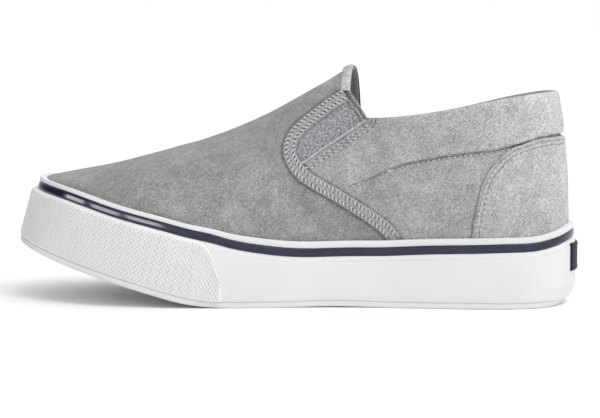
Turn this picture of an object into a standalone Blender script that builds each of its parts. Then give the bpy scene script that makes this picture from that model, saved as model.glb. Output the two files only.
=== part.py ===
"""Low slip-on canvas sneaker with a vulcanised rubber sole: the left shoe of a pair.

The toe points along -X, the lateral side along -Y and +Z is up. The origin is on the floor, under the
middle of the shoe. Sizes are in metres. Tables hold shares of the named sizes: "along" runs from 0 at the
heel to 1 at the toe.
"""

import math

import bmesh
import bpy
import numpy as np
from mathutils import Vector
from mathutils.bvhtree import BVHTree

# Overall sizes
LENGTH = 0.262
BALL_WIDTH = 0.098
SIDEWALL_HEIGHT = 0.0315
INSTEP_HEIGHT = 0.1085
HEEL_HEIGHT = 0.0962
TOE_SPRING = 0.026
WAIST_RISE = 0.0005
CLEARANCE = 0.0003

# Sole
OUTSOLE_THICKNESS = 0.0029
OUTSOLE_LIP = 0.0007
TREAD_DEPTH = 0.0012
TREAD_PITCH = 0.0088
TREAD_GROOVE = 0.0026
TREAD_ZIGZAG = 0.0270
TREAD_MARGIN = 0.0085
FLOOR_HEIGHT = 0.0170
RIM_THICKNESS = 0.0040
RING_SEAT = 0.0026
STEP_DEPTH = 0.0011
HEEL_BEVEL = 0.0052
HEEL_BEVEL_HEIGHT = 0.0095
TOP_LINE_HEIGHT = 0.0030
STRIPE_HEIGHT = 0.0038
BAND_HEIGHT = 0.0021
BUMPER_THICKNESS = 0.0010
BUMPER_REACH = 0.1110
BUMPER_TAIL = 0.0200
PATCH_WIDTH = 0.0255
PATCH_HEIGHT = 0.0128
PATCH_THICKNESS = 0.0006
PATCH_FOOT = 0.0156
INSOLE_THICKNESS = 0.0045

# Upper
UPPER_WALL = 0.0022
COLLAR_PADDING = 0.0042
COLLAR_PUFF = 0.0012
WALL_BULGE = 0.0016
GORE_WALL = 0.0012
GORE_RECESS = 0.0005
GORE_GAP = 0.0005
TRIM_WIDTH = 0.0062
TRIM_THICKNESS = 0.0009
COUNTER_THICKNESS = 0.0008
FACING_WIDTH = 0.0040
FACING_THICKNESS = 0.0008
FACING_FOOT = 0.905

# Mesh density
SOLE_STATIONS = 36
REAR_COLUMNS = 15
VAMP_COLUMNS = 24
ROWS_BELOW_SEAM = 4
ROWS_IN_COLLAR = 4
ROWS_ON_INSTEP = 5
TRIM_SPACING = 0.0042

# Where the collar opening starts on the instep, and where the ridge starts at the toe
THROAT = 0.393
THROAT_TOP = 0.399
COLLAR_CORNER = 0.358
RIDGE_START = 0.900
BEND = (0.590, 0.700)
FLAT_FOREFOOT = (0.520, 0.560)
FLAT_HEEL = (0.150, 0.190)
PLAIN_WAIST = (0.330, 0.470)

# Sole outline seen from above: along, across as a share of the ball width, lateral side negative
OUTLINE = (
    (0.000, 0.000),
    (0.016, -0.170),
    (0.060, -0.283),
    (0.150, -0.342),
    (0.300, -0.347),
    (0.430, -0.370),
    (0.560, -0.447),
    (0.680, -0.487),
    (0.780, -0.480),
    (0.870, -0.410),
    (0.940, -0.285),
    (0.985, -0.125),
    (1.000, 0.045),
    (0.985, 0.212),
    (0.938, 0.355),
    (0.862, 0.450),
    (0.765, 0.505),
    (0.670, 0.490),
    (0.560, 0.405),
    (0.430, 0.328),
    (0.300, 0.318),
    (0.150, 0.338),
    (0.060, 0.281),
    (0.016, 0.168),
)

# Sidewall height along the shoe, as a share of SIDEWALL_HEIGHT, and of the white line on top of it
SIDEWALL = (
    (0.00, 1.185, 0.90),
    (0.02, 1.120, 0.90),
    (0.05, 1.058, 0.90),
    (0.13, 1.025, 0.95),
    (0.25, 1.000, 1.00),
    (0.36, 0.955, 1.00),
    (0.47, 0.945, 1.00),
    (0.55, 1.020, 0.95),
    (0.63, 1.125, 0.75),
    (0.72, 1.125, 0.65),
    (0.82, 1.095, 0.62),
    (0.92, 1.080, 0.60),
    (1.00, 1.010, 0.60),
)

# Instep ridge: along, height share between the sidewall's top at the toe and INSTEP_HEIGHT, and
# distance from the centre line to the medial side as a share of the ball width
RIDGE = (
    (0.300, 1.300, 0.000),
    (0.400, 0.995, 0.000),
    (0.431, 0.900, 0.004),
    (0.453, 0.835, 0.008),
    (0.496, 0.713, 0.014),
    (0.539, 0.597, 0.020),
    (0.582, 0.497, 0.028),
    (0.626, 0.410, 0.034),
    (0.669, 0.337, 0.040),
    (0.757, 0.222, 0.048),
    (0.845, 0.112, 0.052),
    (0.900, 0.062, 0.052),
    (0.957, 0.024, 0.050),
    (1.000, 0.004, 0.048),
)

# Section of the upper: along, exponent across, exponent up, bulge as a share of WALL_BULGE
SECTION = (
    (0.00, 1.30, 1.25, 0.20),
    (0.12, 1.60, 1.50, 0.70),
    (0.25, 2.10, 2.00, 1.00),
    (0.36, 2.60, 2.50, 0.40),
    (0.42, 2.70, 2.65, 0.00),
    (0.55, 2.45, 2.30, 0.00),
    (0.70, 2.30, 2.15, 0.00),
    (0.85, 2.40, 2.10, 0.00),
    (1.00, 2.60, 2.00, 0.00),
)

# Collar edge: along, inset from the sidewall's top as a share of the ball width, height share of
# HEEL_HEIGHT on the lateral side, and how much lower the medial side is
COLLAR = (
    (0.000, 0.044, 1.000, 0.000),
    (0.050, 0.039, 0.992, 0.002),
    (0.100, 0.026, 0.976, 0.006),
    (0.160, 0.005, 0.950, 0.012),
    (0.220, -0.012, 0.919, 0.018),
    (0.280, -0.016, 0.893, 0.024),
    (0.330, -0.004, 0.884, 0.044),
    (0.358, 0.022, 0.884, 0.062),
)
THROAT_SIDE_HEIGHT = 0.870
MEDIAL_DROP = 0.130
TOP_EDGE_BULGE = 0.0012
MEDIAL_SAG = 0.0026
HEEL_REACH = 0.45

# Seam under the padded collar: along, height share of HEEL_HEIGHT
COLLAR_SEAM = (
    (0.000, 0.806),
    (0.053, 0.798),
    (0.094, 0.768),
    (0.127, 0.746),
    (0.195, 0.722),
    (0.246, 0.700),
    (0.297, 0.670),
    (0.330, 0.636),
    (0.358, 0.600),
    (0.400, 0.560),
)

# Front edge of the heel counter: along, height share of HEEL_HEIGHT
COUNTER_EDGE = (
    (0.090, 0.771),
    (0.110, 0.745),
    (0.130, 0.700),
    (0.145, 0.650),
    (0.156, 0.595),
    (0.165, 0.510),
    (0.171, 0.420),
    (0.174, 0.375),
)

# Trim over the vamp's edge, seen from the side: along, height share of INSTEP_HEIGHT
TRIM = (
    (0.408, 0.868),
    (0.424, 0.843),
    (0.446, 0.802),
    (0.471, 0.752),
    (0.487, 0.706),
    (0.492, 0.656),
    (0.485, 0.603),
    (0.470, 0.558),
    (0.445, 0.515),
    (0.414, 0.473),
    (0.381, 0.425),
    (0.347, 0.372),
    (0.323, 0.327),
    (0.309, 0.283),
)

# Elastic gore, seen from the side: its edge under the trim, as along and height share of
# INSTEP_HEIGHT, then its edge at the quarter, as along and height share of HEEL_HEIGHT
GORE = (
    (0.3950, 0.886, 0.3580, 0.880),
    (0.422, 0.841, 0.386, 0.829),
    (0.446, 0.798, 0.415, 0.776),
    (0.469, 0.748, 0.443, 0.725),
    (0.481, 0.700, 0.462, 0.686),
    (0.485, 0.640, 0.474, 0.663),
)


def smooth(table, share, column):
    """Reads a table's column at a share with a cubic that passes through each row."""
    rows = np.array(table)
    x, y = rows[:, 0], rows[:, column]
    slope = np.gradient(y, x)
    share = np.clip(share, x[0], x[-1])
    i = np.clip(np.searchsorted(x, share) - 1, 0, len(x) - 2)
    width = x[i + 1] - x[i]
    t = (share - x[i]) / width
    start = (1 + 2 * t) * (1 - t) ** 2 * y[i] + t * (1 - t) ** 2 * width * slope[i]
    return start + t * t * (3 - 2 * t) * y[i + 1] - t * t * (1 - t) * width * slope[i + 1]


def closed_curve(points, samples):
    """A smooth closed curve through the points, as evenly spread samples."""
    points = np.array(points)
    n = len(points)
    step = np.linalg.norm(np.roll(points, -1, 0) - points, axis=1) ** 0.5
    before = np.roll(step, 1)
    system = np.zeros((n, n))
    right = np.zeros((n, 2))
    for i in range(n):
        last, after = (i - 1) % n, (i + 1) % n
        system[i, last] += step[i]
        system[i, i] += 2 * (step[i] + before[i])
        system[i, after] += before[i]
        rise = (points[after] - points[i]) / step[i]
        fall = (points[i] - points[last]) / before[i]
        right[i] = 3 * (before[i] * rise + step[i] * fall)
    slope = np.linalg.solve(system, right)
    found = []
    for i in range(n):
        after = (i + 1) % n
        t = np.linspace(0, 1, samples, endpoint=False)[:, None]
        found.append(
            (1 + 2 * t) * (1 - t) ** 2 * points[i]
            + t * (1 - t) ** 2 * step[i] * slope[i]
            + t * t * (3 - 2 * t) * points[after]
            - t * t * (1 - t) * step[i] * slope[after]
        )
    return np.concatenate(found)


class Outline:
    """The sidewall's widest outline from above, as distance from the heel and distance to the side."""

    def __init__(self):
        shares = closed_curve(OUTLINE, 24)
        shares[:, 0] = (shares[:, 0] - shares[:, 0].min()) / np.ptp(shares[:, 0])
        self.points = shares * (LENGTH, BALL_WIDTH)
        ahead = np.roll(self.points, -1, 0) - np.roll(self.points, 1, 0)
        inward = np.stack([-ahead[:, 1], ahead[:, 0]], 1) * -1
        self.inward = -inward / np.linalg.norm(inward, axis=1)[:, None]
        self.toe = int(np.argmax(self.points[:, 0]))
        steps = np.linalg.norm(np.roll(self.points, -1, 0) - self.points, axis=1)
        self.arc = np.concatenate([[0], np.cumsum(steps)])

    def at_share(self, along, medial):
        """The point and inward direction at a share of the length, on one side."""
        if medial:
            order = np.r_[np.arange(len(self.points) - 1, self.toe - 1, -1)]
            order = np.r_[0, order]
        else:
            order = np.arange(self.toe + 1)
        distance = self.points[order, 0]
        place = np.clip(along, 0, 1) * LENGTH
        point = [np.interp(place, distance, self.points[order, k]) for k in (0, 1)]
        inward = [np.interp(place, distance, self.inward[order, k]) for k in (0, 1)]
        return np.array(point), np.array(inward) / np.hypot(*inward)

    def at_arc(self, start, distance):
        """The point and inward direction at a signed distance along the outline from a sample."""
        total = self.arc[-1]
        place = (self.arc[start] + distance) % total
        points = np.vstack([self.points, self.points[:1]])
        inward = np.vstack([self.inward, self.inward[:1]])
        point = [np.interp(place, self.arc, points[:, k]) for k in (0, 1)]
        turn = [np.interp(place, self.arc, inward[:, k]) for k in (0, 1)]
        return np.array(point), np.array(turn) / np.hypot(*turn)


SOLE_OUTLINE = Outline()


def bottom(distance):
    """Height and slope of the sole's underside at a distance from the heel."""
    share = distance / LENGTH
    start, stop = BEND
    steepest = TOE_SPRING / (1 - (start + stop) / 2)
    turned = min(1.0, max(0.0, (share - start) / (stop - start)))
    height = steepest * ((stop - start) * turned**2 / 2 + max(0.0, share - stop))
    slope = steepest * turned / LENGTH
    waist = (share - 0.30) / (FLAT_FOREFOOT[0] - 0.30)
    if 0 < waist < 1:
        height += WAIST_RISE * math.sin(math.pi * waist) ** 2
    return height, math.atan(slope)


def place(point, height):
    """A plan point at a height above the underside, in the shoe's frame, square to the bent sole."""
    rise, angle = bottom(point[0])
    return np.array(
        (
            LENGTH / 2 - point[0] + height * math.sin(angle),
            point[1],
            rise + height * math.cos(angle),
        )
    )


def sidewall_height(share):
    return SIDEWALL_HEIGHT * float(smooth(SIDEWALL, share, 1))


def top_line_height(share):
    return TOP_LINE_HEIGHT * float(smooth(SIDEWALL, share, 2))


def heel_bevel(share, height):
    """Extra inset that rounds the back of the heel off towards the floor."""
    near = max(0.0, 1 - share / 0.12) ** 2
    low = max(0.0, 1 - height / HEEL_BEVEL_HEIGHT) ** 1.6
    return HEEL_BEVEL * near * low


def rim(station, inset, height):
    """A point at an inset from the outline and a height above the underside."""
    point, inward = station
    share = point[0] / LENGTH
    inset = inset + heel_bevel(share, height)
    return place(point + inward * inset, height)


def stations(count):
    """Stations round the outline from the heel: lateral side, toe, medial side."""
    shares = [(1 - math.cos(math.pi * k / count)) / 2 for k in range(count + 1)]
    lateral = [SOLE_OUTLINE.at_share(s, False) for s in shares]
    medial = [SOLE_OUTLINE.at_share(s, True) for s in shares[-2:0:-1]]
    return lateral + medial


def share_of(station):
    return station[0][0] / LENGTH


def material(name, colour, roughness):
    made = bpy.data.materials.new(name)
    made.use_nodes = True
    shader = made.node_tree.nodes["Principled BSDF"]
    shader.inputs["Base Color"].default_value = (*colour, 1)
    shader.inputs["Roughness"].default_value = roughness
    shader.inputs["Metallic"].default_value = 0
    made.diffuse_color = (*colour, 1)
    return made


def add_object(name, points, faces, finish, smooth_angle=35):
    """One object from points and faces, with coinciding points joined and faces pointing out."""
    mesh = bpy.data.meshes.new(name)
    mesh.from_pydata([tuple(p) for p in points], [], faces)
    shape = bmesh.new()
    shape.from_mesh(mesh)
    bmesh.ops.remove_doubles(shape, verts=shape.verts, dist=1e-7)
    bmesh.ops.recalc_face_normals(shape, faces=shape.faces)
    shape.to_mesh(mesh)
    shape.free()
    mesh.materials.append(finish)
    mesh.shade_smooth()
    mesh.set_sharp_from_angle(angle=math.radians(smooth_angle))
    made = bpy.data.objects.new(name, mesh)
    bpy.context.scene.collection.objects.link(made)
    return made


def ring_solid(name, profiles, finish, closed=True):
    """Joins equal profiles in order into one body, round a closed outline or capped at both ends."""
    count, size = len(profiles), len(profiles[0])
    points = np.array(profiles).reshape(-1, 3)
    faces = []
    for i in range(count if closed else count - 1):
        after = (i + 1) % count
        for j in range(size):
            up = (j + 1) % size
            faces.append((i * size + j, after * size + j, after * size + up, i * size + up))
    if not closed:
        faces.append(tuple(range(size)))
        faces.append(tuple((count - 1) * size + j for j in range(size)))
    return add_object(name, points, faces, finish)


def slab_faces(count, low, high):
    """Strips across a ring of 2 * count stations, from the lateral side to the medial side."""
    total = 2 * count
    faces = []
    for k in range(count):
        lateral, after = k, k + 1
        medial, medial_after = (total - k) % total, total - k - 1
        ring = [lateral, after, medial_after, medial]
        ring = [r for i, r in enumerate(ring) if r not in ring[:i]]
        faces.append(tuple(low + r for r in ring))
        faces.append(tuple(high + r for r in reversed(ring)))
    return faces


def stacked_solid(name, rings, count, finish):
    """A body from rings of stations, first to last, closed across at the first and the last ring."""
    total = 2 * count
    points = np.concatenate(rings)
    faces = []
    for j in range(len(rings) - 1):
        for i in range(total):
            after = (i + 1) % total
            faces.append((j * total + i, j * total + after, (j + 1) * total + after, (j + 1) * total + i))
    faces += slab_faces(count, 0, (len(rings) - 1) * total)
    return add_object(name, points, faces, finish)


def band_heights(share):
    """Heights of the step, the stripe's foot, the stripe's top and the sidewall's top."""
    top = sidewall_height(share)
    stripe_top = top - top_line_height(share)
    stripe_foot = stripe_top - STRIPE_HEIGHT
    return stripe_foot - BAND_HEIGHT, stripe_foot, stripe_top, top


def make_outsole(finish):
    ring = stations(SOLE_STATIONS)
    top = OUTSOLE_THICKNESS - CLEARANCE
    levels = ((OUTSOLE_LIP * 1.6, 0.0), (OUTSOLE_LIP, OUTSOLE_LIP), (OUTSOLE_LIP, top))
    rings = [np.array([rim(s, inset, height) for s in ring]) for inset, height in levels]
    sole = stacked_solid("outsole", rings, SOLE_STATIONS, finish)
    grooves = tread_cutter()
    cut = sole.modifiers.new("tread", "BOOLEAN")
    cut.operation = "DIFFERENCE"
    cut.object = grooves
    return sole


def groove_shares():
    """Where the tread's grooves run, leaving a flat spot under the heel and under the forefoot."""
    first, last = 0.065, 0.955
    pitch = TREAD_PITCH / LENGTH
    count = int((last - first) / pitch)
    shares = [first + pitch * k for k in range(count + 1)]
    flats = (FLAT_HEEL, FLAT_FOREFOOT, PLAIN_WAIST)
    half = TREAD_GROOVE / LENGTH
    return [s for s in shares if not any(a - half < s < b + half for a, b in flats)]


def tread_cutter():
    """Zigzag bars across the underside, each a groove of the tread."""
    shape = bmesh.new()
    for share in groove_shares():
        lateral, _ = SOLE_OUTLINE.at_share(share, False)
        medial, _ = SOLE_OUTLINE.at_share(share, True)
        left, right = lateral[1] + TREAD_MARGIN, medial[1] - TREAD_MARGIN
        if right - left < 2 * TREAD_MARGIN:
            continue
        corners = 2 * round((right - left) / TREAD_ZIGZAG)
        rows = []
        for k in range(corners + 1):
            side = left + (right - left) * k / corners
            zig = TREAD_GROOVE * (0.5 if k % 2 else -0.5)
            ends = [share * LENGTH + zig + TREAD_GROOVE * d for d in (-0.5, 0.5)]
            section = [(e, -TREAD_DEPTH) for e in ends] + [(e, TREAD_DEPTH) for e in ends[::-1]]
            rows.append([place((e, side), h) for e, h in section])
        verts = [[shape.verts.new(p) for p in row] for row in rows]
        for a, b in zip(verts, verts[1:]):
            for j in range(4):
                shape.faces.new((a[j], b[j], b[(j + 1) % 4], a[(j + 1) % 4]))
        shape.faces.new(verts[0][::-1])
        shape.faces.new(verts[-1])
    bmesh.ops.recalc_face_normals(shape, faces=shape.faces)
    mesh = bpy.data.meshes.new("tread_cutter")
    shape.to_mesh(mesh)
    shape.free()
    return hidden_cutter("tread_cutter", mesh)


def hidden_cutter(name, mesh):
    made = bpy.data.objects.new(name, mesh)
    bpy.context.scene.collection.objects.link(made)
    made.hide_render = True
    made.display_type = "WIRE"
    return made


def make_midsole(finish):
    """The rubber sidewall with its steps, closed by the floor that carries the insole."""
    ring = stations(SOLE_STATIONS)
    rings = [[] for _ in range(10)]
    for s in ring:
        step, foot, _, top = band_heights(share_of(s))
        profile = (
            (OUTSOLE_LIP, OUTSOLE_THICKNESS),
            (0.0, OUTSOLE_THICKNESS + OUTSOLE_LIP),
            (0.0, HEEL_BEVEL_HEIGHT),
            (OUTSOLE_LIP / 2, step),
            (STEP_DEPTH, step + STEP_DEPTH / 3),
            (STEP_DEPTH, foot - CLEARANCE),
            (RING_SEAT, foot - CLEARANCE),
            (RING_SEAT, top),
            (RIM_THICKNESS, top),
            (RIM_THICKNESS, FLOOR_HEIGHT),
        )
        for row, (inset, height) in zip(rings, profile):
            row.append(rim(s, inset, height))
    return stacked_solid("midsole", [np.array(r) for r in rings], SOLE_STATIONS, finish)


def make_stripe(finish):
    """The coloured rubber line round the sidewall, with a rounded face."""
    inner, outer = RING_SEAT - CLEARANCE, STEP_DEPTH - CLEARANCE
    profiles = []
    for s in stations(SOLE_STATIONS):
        _, foot, top, _ = band_heights(share_of(s))
        middle = (foot + top) / 2
        face = outer + CLEARANCE
        top = top - CLEARANCE
        rows = ((inner, foot), (face, foot), (outer, middle), (face, top), (inner, top))
        profiles.append([rim(s, inset, height) for inset, height in rows])
    return ring_solid("stripe", profiles, finish)


def make_top_line(finish):
    """The white line along the top of the sidewall."""
    inner, outer = RING_SEAT - CLEARANCE, STEP_DEPTH
    profiles = []
    for s in stations(SOLE_STATIONS):
        _, _, foot, top = band_heights(share_of(s))
        rows = ((inner, foot), (outer, foot), (outer + CLEARANCE, top - 2 * CLEARANCE), (inner, top))
        profiles.append([rim(s, inset, height) for inset, height in rows])
    return ring_solid("top_line", profiles, finish)


def bumper_profile(arc, part):
    """A section of the toe bumper at a distance round the outline, with part of its full height."""
    station = SOLE_OUTLINE.at_arc(SOLE_OUTLINE.toe, arc)
    step, foot, _, _ = band_heights(share_of(station))
    low, full = OUTSOLE_THICKNESS + OUTSOLE_LIP, foot - CLEARANCE
    top = low + (full - low) * part
    over = min(1.0, max(0.0, (top - step) / (full - step)))
    near, face, seat = -CLEARANCE, -CLEARANCE - BUMPER_THICKNESS, STEP_DEPTH - CLEARANCE
    edge = BUMPER_THICKNESS / 2
    short = ((face, top - edge), (face + edge / 2, top - edge / 2), (face + edge, top))
    short += ((near - edge / 2, top), (near, top - edge / 2), (near, top - edge))
    tall = ((face, step), (face + edge, full - 2 * edge), (face + 3 * edge, full))
    tall += ((seat, full), (seat, step + STEP_DEPTH), (near, step))
    rows = [(near, low), (face, low + OUTSOLE_LIP), (face, (low + min(top, step)) / 2)]
    rows += [(a + (c - a) * over, b + (d - b) * over) for (a, b), (c, d) in zip(short, tall)]
    return [rim(station, inset, height) for inset, height in rows]


def make_toe_bumper(finish):
    """The second layer of rubber round the toe, over the sidewall up to the stripe."""
    steps = 34
    full = [BUMPER_REACH * (2 * k / steps - 1) for k in range(steps + 1)]
    tail = [(part, (1 - part**3) ** 0.77) for part in (0.25, 0.48, 0.66, 0.80, 0.90, 0.965)]
    places = [(-BUMPER_REACH - BUMPER_TAIL * d, h) for d, h in tail[::-1]]
    places += [(arc, 1.0) for arc in full] + [(BUMPER_REACH + BUMPER_TAIL * d, h) for d, h in tail]
    return ring_solid("toe_bumper", [bumper_profile(a, h) for a, h in places], finish, closed=False)


def make_heel_patch(finish):
    """The plain rubber label on the back of the sidewall."""
    steps = 12
    profiles = []
    for k in range(steps + 1):
        arc = PATCH_WIDTH * (k / steps - 0.5)
        station = SOLE_OUTLINE.at_arc(0, arc)
        low, high = PATCH_FOOT, PATCH_FOOT + PATCH_HEIGHT
        near, far = -CLEARANCE, -CLEARANCE - PATCH_THICKNESS
        rows = ((near, low), (far, low), (far, high), (near, high))
        profiles.append([rim(station, inset, height) for inset, height in rows])
    return ring_solid("heel_patch", profiles, finish, closed=False)


def upper_inset():
    """Inset of the upper's outer face where it stands inside the sidewall."""
    return RIM_THICKNESS + CLEARANCE


def make_insole(finish):
    inset = upper_inset() + UPPER_WALL + CLEARANCE
    low = FLOOR_HEIGHT + CLEARANCE
    top = low + INSOLE_THICKNESS
    levels = ((inset + CLEARANCE, low), (inset, top - CLEARANCE), (inset + 2 * CLEARANCE, top))
    ring = stations(SOLE_STATIONS)
    rings = [np.array([rim(s, i, h) for s in ring]) for i, h in levels]
    return stacked_solid("insole", rings, SOLE_STATIONS, finish)


def toe_top_height():
    """Height of the sidewall's top at the tip of the toe."""
    station = SOLE_OUTLINE.at_share(1.0, False)
    return rim(station, upper_inset(), sidewall_height(1.0))[2]


def ridge_point(x, side_offset=None):
    """Height of the instep ridge over a place along the shoe."""
    share = (LENGTH / 2 - x) / LENGTH
    low = toe_top_height()
    height = low + (INSTEP_HEIGHT - low) * float(smooth(RIDGE, share, 1))
    side = BALL_WIDTH * float(smooth(RIDGE, share, 2))
    return height, side


def column_shares():
    """Shares of the length where the upper's columns stand, heel to toe, with the throat among them."""
    rear = [THROAT * (1 - math.cos(math.pi / 2 * i / REAR_COLUMNS)) for i in range(REAR_COLUMNS)]
    vamp = [THROAT + (1 - THROAT) * math.sin(math.pi / 2 * j / VAMP_COLUMNS) for j in range(VAMP_COLUMNS + 1)]
    return rear + vamp


def ridge_share(along):
    """Where on the ridge the column that starts at a share of the length ends."""
    turn = math.asin(min(1.0, max(0.0, (along - THROAT) / (1 - THROAT)))) * 2 / math.pi
    return THROAT_TOP + (RIDGE_START - THROAT_TOP) * (1 - (1 - turn) ** 1.75)


class Column:
    """One column of the upper's outer face, from the sidewall up to the collar or the ridge."""

    def __init__(self, along, medial):
        self.along = along
        self.medial = medial
        self.station = SOLE_OUTLINE.at_share(along, medial)
        self.foot = rim(self.station, upper_inset(), sidewall_height(along))
        self.across = float(smooth(SECTION, along, 1))
        self.up = float(smooth(SECTION, along, 2))
        self.bulge = WALL_BULGE * float(smooth(SECTION, along, 3))
        inward = self.station[1]
        self.inward = np.array((-inward[0], inward[1], 0.0))
        end = LENGTH * (0.5 - ridge_share(along))
        height, side = ridge_point(end)
        self.ridge = np.array((end, side, height))

    def arch(self, angle):
        """A point on the arch over the instep, from 0 at the sidewall to a quarter turn at the ridge."""
        inner = 1 - math.cos(angle) ** (2 / self.across)
        rise = math.sin(angle) ** (2 / self.up)
        plan = self.foot + (self.ridge - self.foot) * inner
        height, _ = ridge_point(plan[0])
        return np.array((plan[0], plan[1], self.foot[2] + (height - self.foot[2]) * rise))

    def throat_angle(self):
        side = THROAT_SIDE_HEIGHT - self.medial * MEDIAL_DROP
        return math.asin(side ** (self.up / 2))

    def angle_at(self, height):
        """The angle where the arch passes a height."""
        rise = (height - self.foot[2]) / (self.ridge[2] - self.foot[2])
        return math.asin(rise ** (self.up / 2))

    def collar_end(self):
        """The top of a column behind the throat, on the collar's edge."""
        along = min(self.along, COLLAR_CORNER)
        inset = BALL_WIDTH * float(smooth(COLLAR, along, 1))
        height = HEEL_HEIGHT * float(smooth(COLLAR, along, 2) - self.medial * smooth(COLLAR, along, 3))
        corner = self.foot + self.inward * inset
        corner[2] = height
        if self.along > COLLAR_CORNER:
            part = (self.along - COLLAR_CORNER) / (THROAT - COLLAR_CORNER)
            corner = corner + (self.arch(self.throat_angle()) - corner) * part
            corner[2] += 4 * part * (1 - part) * (TOP_EDGE_BULGE - self.medial * MEDIAL_SAG)
        return corner

    def seam_share(self):
        """Height share of the seam under the padded collar, on a wall column."""
        seam = HEEL_HEIGHT * float(smooth(COLLAR_SEAM, self.along, 1))
        return (seam - self.foot[2]) / (self.collar_end()[2] - self.foot[2])

    def wall(self, share):
        """A point on the wall behind the throat, at a share of the height up to the collar."""
        reach = HEEL_REACH + (THROAT_SIDE_HEIGHT - HEEL_REACH) * self.along / THROAT
        lean = 1 - (1 - (reach * share) ** self.up) ** (1 / self.across)
        lean /= 1 - (1 - reach**self.up) ** (1 / self.across)
        end = self.collar_end()
        point = self.foot + (end - self.foot) * lean
        point[2] = self.foot[2] + (end[2] - self.foot[2]) * share
        outward = self.bulge * math.sin(math.pi * min(1.0, share)) + self.puff(share)
        return point - self.inward * outward

    def padded(self):
        """How much of the collar's padding is left here: all of it at the heel, none at the gore."""
        return float(np.clip((COLLAR_CORNER + 0.01 - self.along) / 0.09, 0, 1))

    def collar_share(self, share):
        seam = self.seam_share()
        return min(1.0, max(0.0, (share - seam) / (1 - seam)))

    def puff(self, share):
        return COLLAR_PUFF * self.padded() * math.sin(math.pi * self.collar_share(share) ** 0.6)

    def rows(self):
        """The column's points from the feather edge up, each with the wall's thickness there."""
        low = FLOOR_HEIGHT + CLEARANCE
        found = [(rim(self.station, upper_inset(), low), UPPER_WALL), (self.foot, UPPER_WALL)]
        if self.along <= THROAT:
            seam = self.seam_share()
            shares = [seam * k / ROWS_BELOW_SEAM for k in range(1, ROWS_BELOW_SEAM + 1)]
            shares += [seam + (1 - seam) * k / ROWS_IN_COLLAR for k in range(1, ROWS_IN_COLLAR + 1)]
            for share in shares:
                fill = math.sin(math.pi * 0.88 * self.collar_share(share)) ** 0.7 if share > seam else 0
                found.append((self.wall(share), UPPER_WALL + COLLAR_PADDING * self.padded() * fill))
        throat = self.throat_angle()
        if self.along > THROAT:
            low_angle = math.radians(12 + 14 * min(1.0, (self.along - THROAT) / 0.25))
            angles = [low_angle * k / ROWS_BELOW_SEAM for k in range(1, ROWS_BELOW_SEAM + 1)]
            angles += list(np.linspace(low_angle, throat, ROWS_IN_COLLAR + 1)[1:])
            found += [(self.arch(a), UPPER_WALL) for a in angles]
        if self.along >= THROAT:
            angles = np.linspace(throat, math.pi / 2, ROWS_ON_INSTEP + 1)[1:]
            found += [(self.arch(a), UPPER_WALL) for a in angles]
        return found


class Skin:
    """The upper's outer face as a mesh, with the wall's thickness and the direction out at each point."""

    def __init__(self):
        shares = column_shares()
        self.shares = shares
        last = len(shares) - 1
        order = [(s, False) for s in shares] + [(s, True) for s in shares[-2:0:-1]]
        self.columns = [Column(s, m).rows() for s, m in order]
        self.total = 2 * last
        self.wall_rows = 2 + ROWS_BELOW_SEAM + ROWS_IN_COLLAR
        self.throat = REAR_COLUMNS
        self.index = {}
        points, walls = [], []
        for c, column in enumerate(self.columns):
            pair = (self.total - c) % self.total
            for r, (point, wall) in enumerate(column):
                on_ridge = r == self.wall_rows - 1 + ROWS_ON_INSTEP
                if on_ridge and (pair, r) in self.index:
                    self.index[c, r] = self.index[pair, r]
                    continue
                self.index[c, r] = len(points)
                points.append(point)
                walls.append(wall)
        self.points = np.array(points)
        self.walls = np.array(walls)
        self.faces = []
        for c in range(self.total):
            after = (c + 1) % self.total
            for r in range(min(len(self.columns[c]), len(self.columns[after])) - 1):
                ring = ((c, r + 1), (after, r + 1), (after, r), (c, r))
                self.faces.append(tuple(self.index[k] for k in ring))
        self.out = self.directions()
        self.tree = BVHTree.FromPolygons([Vector(p) for p in self.points], self.faces)

    def directions(self):
        out = np.zeros_like(self.points)
        for face in self.faces:
            corners = self.points[list(face)]
            normal = np.cross(corners[2] - corners[0], corners[3] - corners[1])
            for v in face:
                out[v] += normal
        out /= np.linalg.norm(out, axis=1)[:, None]
        if np.sum(out * (self.points - self.points.mean(0))) < 0:
            out = -out
        return out

    def from_side(self, along, height, medial):
        """The point of the skin seen from the side at a share of the length and a height."""
        x = LENGTH * (0.5 - along)
        start = Vector((x, BALL_WIDTH if medial else -BALL_WIDTH, height))
        hit, normal, _, _ = self.tree.ray_cast(start, Vector((0, -1 if medial else 1, 0)))
        if normal.y * (1 if medial else -1) < 0:
            normal = -normal
        return np.array(hit), np.array(normal)

    def on_column(self, position, height):
        """A point and direction out on the faceted skin, at a place between columns and a height."""
        low = int(math.floor(position))
        part = position - low
        count = self.wall_rows
        ends = []
        for c in (low % self.total, (low + 1) % self.total):
            ids = [self.index[c, r] for r in range(1, count)]
            ends.append((self.points[ids], self.out[ids]))
        line = ends[0][0] * (1 - part) + ends[1][0] * part
        out = ends[0][1] * (1 - part) + ends[1][1] * part
        point = np.array([np.interp(height, line[:, 2], line[:, k]) for k in range(3)])
        turn = np.array([np.interp(height, line[:, 2], out[:, k]) for k in range(3)])
        return point, turn / np.linalg.norm(turn)


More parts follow.
